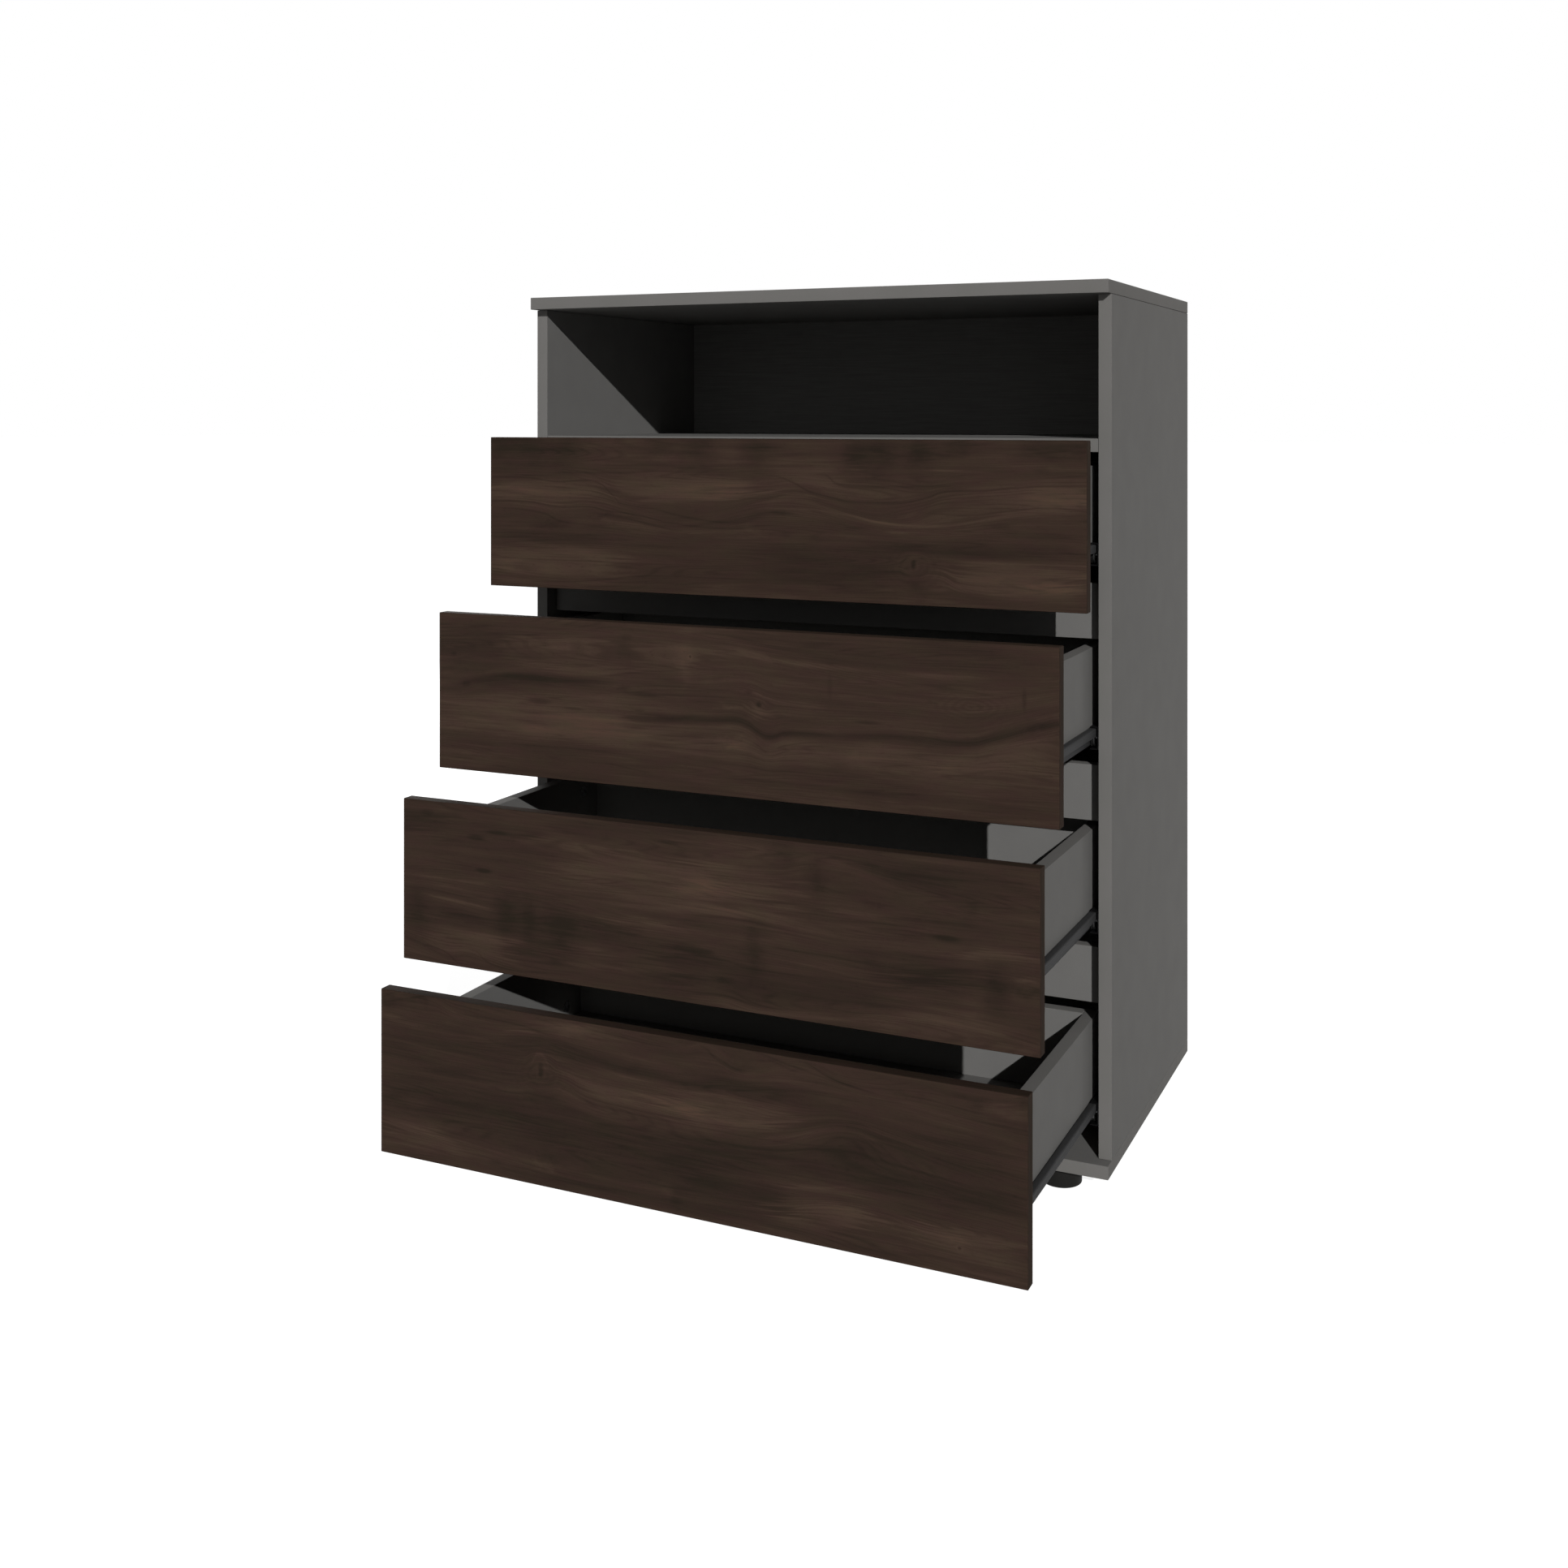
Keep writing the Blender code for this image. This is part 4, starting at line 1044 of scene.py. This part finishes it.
def runner_places():
    """Number, side and way outwards of each runner, and the X and Z of its drawer side's lower outer edge."""
    for number in DRAWERS:
        for side, sign in SIDES.items():
            low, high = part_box(f"drawer_{number}_{side}_side")
            yield number, side, sign, high.x if sign > 0 else low.x, low.z


def dress_runners(finish):
    """Steel halves, rollers and pins of all the runners."""
    low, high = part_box("drawer_1_runner_right")
    angle = angle_mesh(high.y - low.y)
    low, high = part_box("cabinet_runner_1_right")
    channel = channel_mesh(high.y - low.y)
    channel_front = low.y
    front_roller = roller_mesh(FRONT_ROLLER["radius"])
    rear_roller = roller_mesh(REAR_ROLLER["radius"])
    front_pin = front_pin_mesh()
    rear_pin = rear_pin_mesh()
    steel, channel_steel_painted_shade, zinc, nylon = [finish[name] for name in ("steel", "channel_steel_painted_shade", "zinc", "nylon")]
    for number, side, sign, across, base in runner_places():
        body = f"drawer_{number}"
        node = f"{body}_runner_{side}"
        low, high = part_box(node)
        mesh = placed(angle, (across, low.y, base), sign)
        new_piece(f"{node}_angle", mesh, body, "runner_steel", steel, stands_for=(node,))
        roller_across = across + sign * ROLLER_INNER_FACE
        place = (roller_across, high.y - REAR_ROLLER["from_rear"], base + REAR_ROLLER["height"])
        new_piece(f"{body}_rear_roller_{side}", placed(rear_roller, place, sign), body, "roller_nylon", nylon)
        new_piece(f"{body}_rear_pin_{side}", placed(rear_pin, place, sign), body, "runner_steel", zinc)
        node = f"cabinet_runner_{number}_{side}"
        mesh = placed(channel, (across, channel_front, base), sign)
        # The channel takes the near-black copy of the runner steel: painted shade for the shadow it sits in
        # inside the carcass.
        new_piece(f"{node}_channel", mesh, "carcass", "runner_steel", channel_steel_painted_shade, stands_for=(node,))
        place = (roller_across, channel_front + FRONT_ROLLER["from_front"], base + FRONT_ROLLER["height"])
        new_piece(f"{node}_pin", placed(front_pin, place, sign), "carcass", "runner_steel", zinc)
        node = f"roller_{number}_{side}"
        mesh = placed(front_roller, place, sign)
        new_piece(f"{node}_wheel", mesh, node, "roller_nylon", nylon, stands_for=(node,))


def dress_feet(finish):
    """Round glides under the bottom panel, each with a hole for its screw and a groove round its top."""
    radius, height, edge = FOOT_RADIUS, FOOT_HEIGHT, FOOT_EDGE
    profile = [(0.004, 0.0), (0.004, 0.0025), (0.0, 0.0048)]
    profile += arc((edge, radius - edge), edge, 180, 90)
    groove = radius - 0.0005
    profile += [(height - 0.0062, radius), (height - 0.0058, groove), (height - 0.0052, groove)]
    profile += [(height - 0.0048, radius), (height, radius), (height, 0.0)]
    mesh = turned(profile, FOOT_SIDES)
    upright = Matrix.Rotation(-math.pi / 2, 4, "Y")
    for end in ("front", "rear"):
        for side in SIDES:
            node = f"foot_{end}_{side}"
            low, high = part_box(node)
            middle = (low + high) / 2
            foot = placed(mesh, (middle.x, middle.y, low.z), turn=upright)
            new_piece(f"{node}_glide", foot, "carcass", "foot_plastic", finish["plastic"], stands_for=(node,))


def fastener_tree():
    """Geometry tree: a domed, cross-slotted head on each seat, facing the way that the seat says."""
    tree = bpy.data.node_groups.new("fastener_heads", "GeometryNodeTree")
    sockets = {"Seats": "NodeSocketGeometry", **dict.fromkeys(HEAD_SIZES, "NodeSocketFloat")}
    for name, kind in {**sockets, "Finish": "NodeSocketMaterial"}.items():
        tree.interface.new_socket(name=name, in_out="INPUT", socket_type=kind)
    tree.interface.new_socket(name="Heads", in_out="OUTPUT", socket_type="NodeSocketGeometry")
    given = add(tree, "NodeGroupInput").outputs
    radius, height = given["Head Radius"], given["Head Height"]
    inputs = {"Vertices": HEAD_SIDES, "Fill Segments": 3, "Radius": radius, "Depth": height}
    disc = add(tree, "GeometryNodeMeshCylinder", inputs, fill_type="TRIANGLE_FAN").outputs["Mesh"]
    place = add(tree, "GeometryNodeInputPosition").outputs[0]
    parts = add(tree, "ShaderNodeSeparateXYZ", {0: place}).outputs
    flat = add(tree, "ShaderNodeCombineXYZ", {"X": parts["X"], "Y": parts["Y"]}).outputs[0]
    out = add(tree, "ShaderNodeVectorMath", {0: flat}, operation="LENGTH").outputs["Value"]
    share = add(tree, "ShaderNodeMath", {0: out, 1: radius}, operation="DIVIDE").outputs[0]
    square = add(tree, "ShaderNodeMath", {0: share, 1: share}, operation="MULTIPLY").outputs[0]
    drop = add(tree, "ShaderNodeMath", {0: square, 1: given["Dome"]}, operation="MULTIPLY").outputs[0]
    down = add(tree, "ShaderNodeMath", {0: drop, 1: -1.0}, operation="MULTIPLY").outputs[0]
    shift = add(tree, "ShaderNodeCombineXYZ", {"Z": down}).outputs[0]
    top = add(tree, "ShaderNodeMath", {0: parts["Z"], 1: 0.0}, operation="GREATER_THAN").outputs[0]
    inputs = {"Geometry": disc, "Selection": top, "Offset": shift}
    head = add(tree, "GeometryNodeSetPosition", inputs).outputs[0]
    upward = add(tree, "ShaderNodeCombineXYZ", {"Z": height}).outputs[0]
    lift = add(tree, "ShaderNodeVectorMath", {0: upward, "Scale": SLOT_LIFT}, operation="SCALE").outputs[0]
    long_side, short_side = given["Slot Length"], given["Slot Width"]
    for along, across in ((long_side, short_side), (short_side, long_side)):
        size = add(tree, "ShaderNodeCombineXYZ", {"X": along, "Y": across, "Z": height}).outputs[0]
        bar = add(tree, "GeometryNodeMeshCube", {"Size": size}).outputs["Mesh"]
        bar = add(tree, "GeometryNodeTransform", {"Geometry": bar, "Translation": lift}).outputs[0]
        inputs = {"Mesh 1": head, "Mesh 2": bar}
        head = add(tree, "GeometryNodeMeshBoolean", inputs, operation="DIFFERENCE").outputs[0]
    facing = add(tree, "GeometryNodeInputNamedAttribute", {"Name": "facing"}, data_type="FLOAT_VECTOR")
    turn = add(tree, "FunctionNodeAlignRotationToVector", {"Vector": facing.outputs[0]}, axis="Z").outputs[0]
    inputs = {"Points": given["Seats"], "Instance": head, "Rotation": turn}
    heads = add(tree, "GeometryNodeInstanceOnPoints", inputs).outputs[0]
    real = add(tree, "GeometryNodeRealizeInstances", {"Geometry": heads}).outputs[0]
    inputs = {"Geometry": real, "Material": given["Finish"]}
    finished = add(tree, "GeometryNodeSetMaterial", inputs).outputs[0]
    add(tree, "NodeGroupOutput", {"Heads": finished})
    return tree


def fasteners(tree, name, body, seats, head, zinc):
    """Zinc heads of one kind on one body. Each seat is where a head's middle lies and where it faces."""
    points = bpy.data.meshes.new(name)
    points.from_pydata([place for place, facing in seats], [], [])
    facings = points.attributes.new("facing", "FLOAT_VECTOR", "POINT")
    for item, (place, facing) in zip(facings.data, seats):
        item.vector = facing
    source = bpy.data.objects.new(name, points)
    bpy.context.scene.collection.objects.link(source)
    heads = source.modifiers.new("heads", "NODES")
    heads.node_group = tree
    values = {"Finish": zinc, **dict(zip(HEAD_SIZES, head))}
    for socket in tree.interface.items_tree:
        if socket.in_out == "INPUT" and socket.name in values:
            heads[socket.identifier] = values[socket.name]
    depsgraph = bpy.context.evaluated_depsgraph_get()
    mesh = bpy.data.meshes.new_from_object(source.evaluated_get(depsgraph))
    bpy.data.objects.remove(source)
    new_piece(name, smooth(mesh), body, "runner_steel")


def runner_screws(tree, zinc):
    """Screws through the webs of each runner: countersunk in the angle, pan-headed in the channel."""
    drawer_seats = {number: [] for number in DRAWERS}
    cabinet_seats = []
    for number, side, sign, across, base in runner_places():
        angle_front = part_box(f"drawer_{number}_runner_{side}")[0].y
        for back in ANGLE_SCREWS:
            place = (across + sign * ANGLE_SCREW_FACE, angle_front + back, base + ANGLE_SCREW_HEIGHT)
            drawer_seats[number].append((place, (sign, 0.0, 0.0)))
        channel_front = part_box(f"cabinet_runner_{number}_{side}")[0].y
        for back in CHANNEL_SCREWS:
            place = (across + sign * CHANNEL_SCREW_FACE, channel_front + back, base + FRONT_ROLLER["height"])
            cabinet_seats.append((place, (-sign, 0.0, 0.0)))
    for number, seats in drawer_seats.items():
        body = f"drawer_{number}"
        fasteners(tree, f"{body}_runner_screws", body, seats, COUNTERSUNK_SCREW, zinc)
    fasteners(tree, "carcass_runner_screws", "carcass", cabinet_seats, PAN_HEAD_SCREW, zinc)


def cam_locks(tree, zinc):
    """Cam locks that draw the drawer boards together, flush in the inner faces of the sides."""
    for number in DRAWERS:
        body = f"drawer_{number}"
        seats = []
        for side, sign in SIDES.items():
            low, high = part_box(f"{body}_{side}_side")
            inner = low.x if sign > 0 else high.x
            for up in CAM_HEIGHTS:
                for along in (low.y + CAM_FROM_FRONT, high.y - CAM_FROM_REAR):
                    seats.append(((inner, along, low.z + up), (-sign, 0.0, 0.0)))
        fasteners(tree, f"{body}_cam_locks", body, seats, CAM_LOCK, zinc)


def back_nails(tree, zinc):
    """Nails along the edges of the back panel."""
    low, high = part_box("back_panel")
    places = []
    for axis, other in ((0, 2), (2, 0)):
        length = high[axis] - low[axis]
        count = round(length / NAIL_SPACING)
        for index in range(count + 1):
            for edge in (low[other] + NAIL_MARGIN, high[other] - NAIL_MARGIN):
                place = [0.0, high.y, 0.0]
                place[axis] = low[axis] + NAIL_MARGIN + (length - 2 * NAIL_MARGIN) * index / count
                place[other] = edge
                places.append(tuple(place))
    seats = [(place, (0.0, 1.0, 0.0)) for place in dict.fromkeys(places)]
    fasteners(tree, "back_panel_nails", "carcass", seats, NAIL, zinc)


def make_camera():
    """Camera level with the floor at the photograph's place; its shift lowers the frame below the horizon."""
    data = bpy.data.cameras.new("camera")
    data.lens = FOCAL_LENGTH_MM
    data.sensor_width = SENSOR_WIDTH_MM
    data.shift_y = -HORIZON_ABOVE_MIDDLE / PHOTO_SIZE
    camera = bpy.data.objects.new("camera", data)
    camera.location = CAMERA_PLACE
    camera.rotation_euler = (math.pi / 2, 0.0, CAMERA_TURN)
    bpy.context.scene.collection.objects.link(camera)
    bpy.context.scene.camera = camera


def background_rays(tree):
    """1 for the rays that should find a white background: of the camera, of gloss and of clear things."""
    path = add(tree, "ShaderNodeLightPath").outputs
    inputs = {0: path["Is Camera Ray"], 1: path["Is Glossy Ray"]}
    either = add(tree, "ShaderNodeMath", inputs, operation="MAXIMUM").outputs[0]
    inputs = {0: either, 1: path["Is Transmission Ray"]}
    return add(tree, "ShaderNodeMath", inputs, operation="MAXIMUM").outputs[0]


def make_stage():
    """A wide pale floor under a white surround. The floor keeps the shadow of the chest."""
    mesh = bpy.data.meshes.new("floor")
    corners = [(FLOOR_HALF * x, FLOOR_HALF * y, 0) for x, y in ((-1, -1), (1, -1), (1, 1), (-1, 1))]
    mesh.from_pydata(corners, [], [(0, 1, 2, 3)])
    material, tree = new_material("pale_floor")
    paint = add(tree, "ShaderNodeBsdfDiffuse", {"Color": FLOOR_PAINT}).outputs[0]
    pale = add(tree, "ShaderNodeBsdfDiffuse", {"Color": FLOOR_SEEN}).outputs[0]
    glow = add(tree, "ShaderNodeEmission", {"Color": WHITE, "Strength": FLOOR_GLOW}).outputs[0]
    white = add(tree, "ShaderNodeAddShader", {0: pale, 1: glow}).outputs[0]
    inputs = {"Fac": background_rays(tree), 1: paint, 2: white}
    mixed = add(tree, "ShaderNodeMixShader", inputs).outputs[0]
    add(tree, "ShaderNodeOutputMaterial", {"Surface": mixed})
    mesh.materials.append(material)
    floor = bpy.data.objects.new("floor", mesh)
    bpy.context.scene.collection.objects.link(floor)
    world = bpy.data.worlds.new("surround")
    world.use_nodes = True
    tree = world.node_tree
    tree.nodes.clear()
    inputs = {"Value": background_rays(tree), "To Min": FILL, "To Max": 1.0}
    strength = add(tree, "ShaderNodeMapRange", inputs).outputs[0]
    surround = add(tree, "ShaderNodeBackground", {"Color": WHITE, "Strength": strength}).outputs[0]
    add(tree, "ShaderNodeOutputWorld", {"Surface": surround})
    bpy.context.scene.world = world


def make_lights():
    """One clear light from the front right, low enough to reach into the cubby, and soft lamps around it."""
    for name, kind, place, towards, energy, size in LAMPS:
        data = bpy.data.lights.new(name, kind)
        data.energy = energy
        if kind == "SUN":
            data.angle = size
        else:
            data.shape = "SQUARE"
            data.size = size
        lamp = bpy.data.objects.new(name, data)
        lamp.location = place
        lamp.rotation_mode = "QUATERNION"
        lamp.rotation_quaternion = Vector(towards).to_track_quat("-Z", "Y")
        bpy.context.scene.collection.objects.link(lamp)


def build():
    """The whole scene."""
    mark = print_mark_group()
    finish = {
        "grey_face": grey_melamine("grey_melamine", ("#6f6e6c", "#72716f"), 0.00003, 0.7),
        "grey_band": grey_melamine("grey_edge_band", ("#6f6e6b", "#72706e"), 0.00001, 0.64),
        "chipboard": raw_chipboard(),
        "hardboard": grey_hardboard(),
        "brown_board": brown_hardboard(),
        "steel": powder_coated_steel("powder_coated_steel", ("#303030", "#39393a")),
        # The channel's steel is the same powder coat as the angle's. This copy is made near-black as painted
        # shade for the shadow inside the carcass.
        "channel_steel_painted_shade": powder_coated_steel("coated_steel_painted_shade", ("#0f0f0f", "#151516")),
        "zinc": zinc_plate(),
        "nylon": moulded_nylon(),
        "plastic": moulded_plastic(),
        "walnut_band": walnut_melamine("walnut_edge_band", WALNUT_BAND, mark, BAND_SEED),
    }
    for number, look in WALNUT_FRONTS.items():
        finish[f"walnut_{number}"] = walnut_melamine(f"walnut_melamine_{number}", look, mark, number)
    dress_boards(finish)
    dress_runners(finish)
    dress_feet(finish)
    tree = fastener_tree()
    for fasten in (runner_screws, cam_locks, back_nails):
        fasten(tree, finish["zinc"])
    make_camera()
    make_lights()
    make_stage()
    bpy.context.scene.view_settings.view_transform = "Standard"


build()
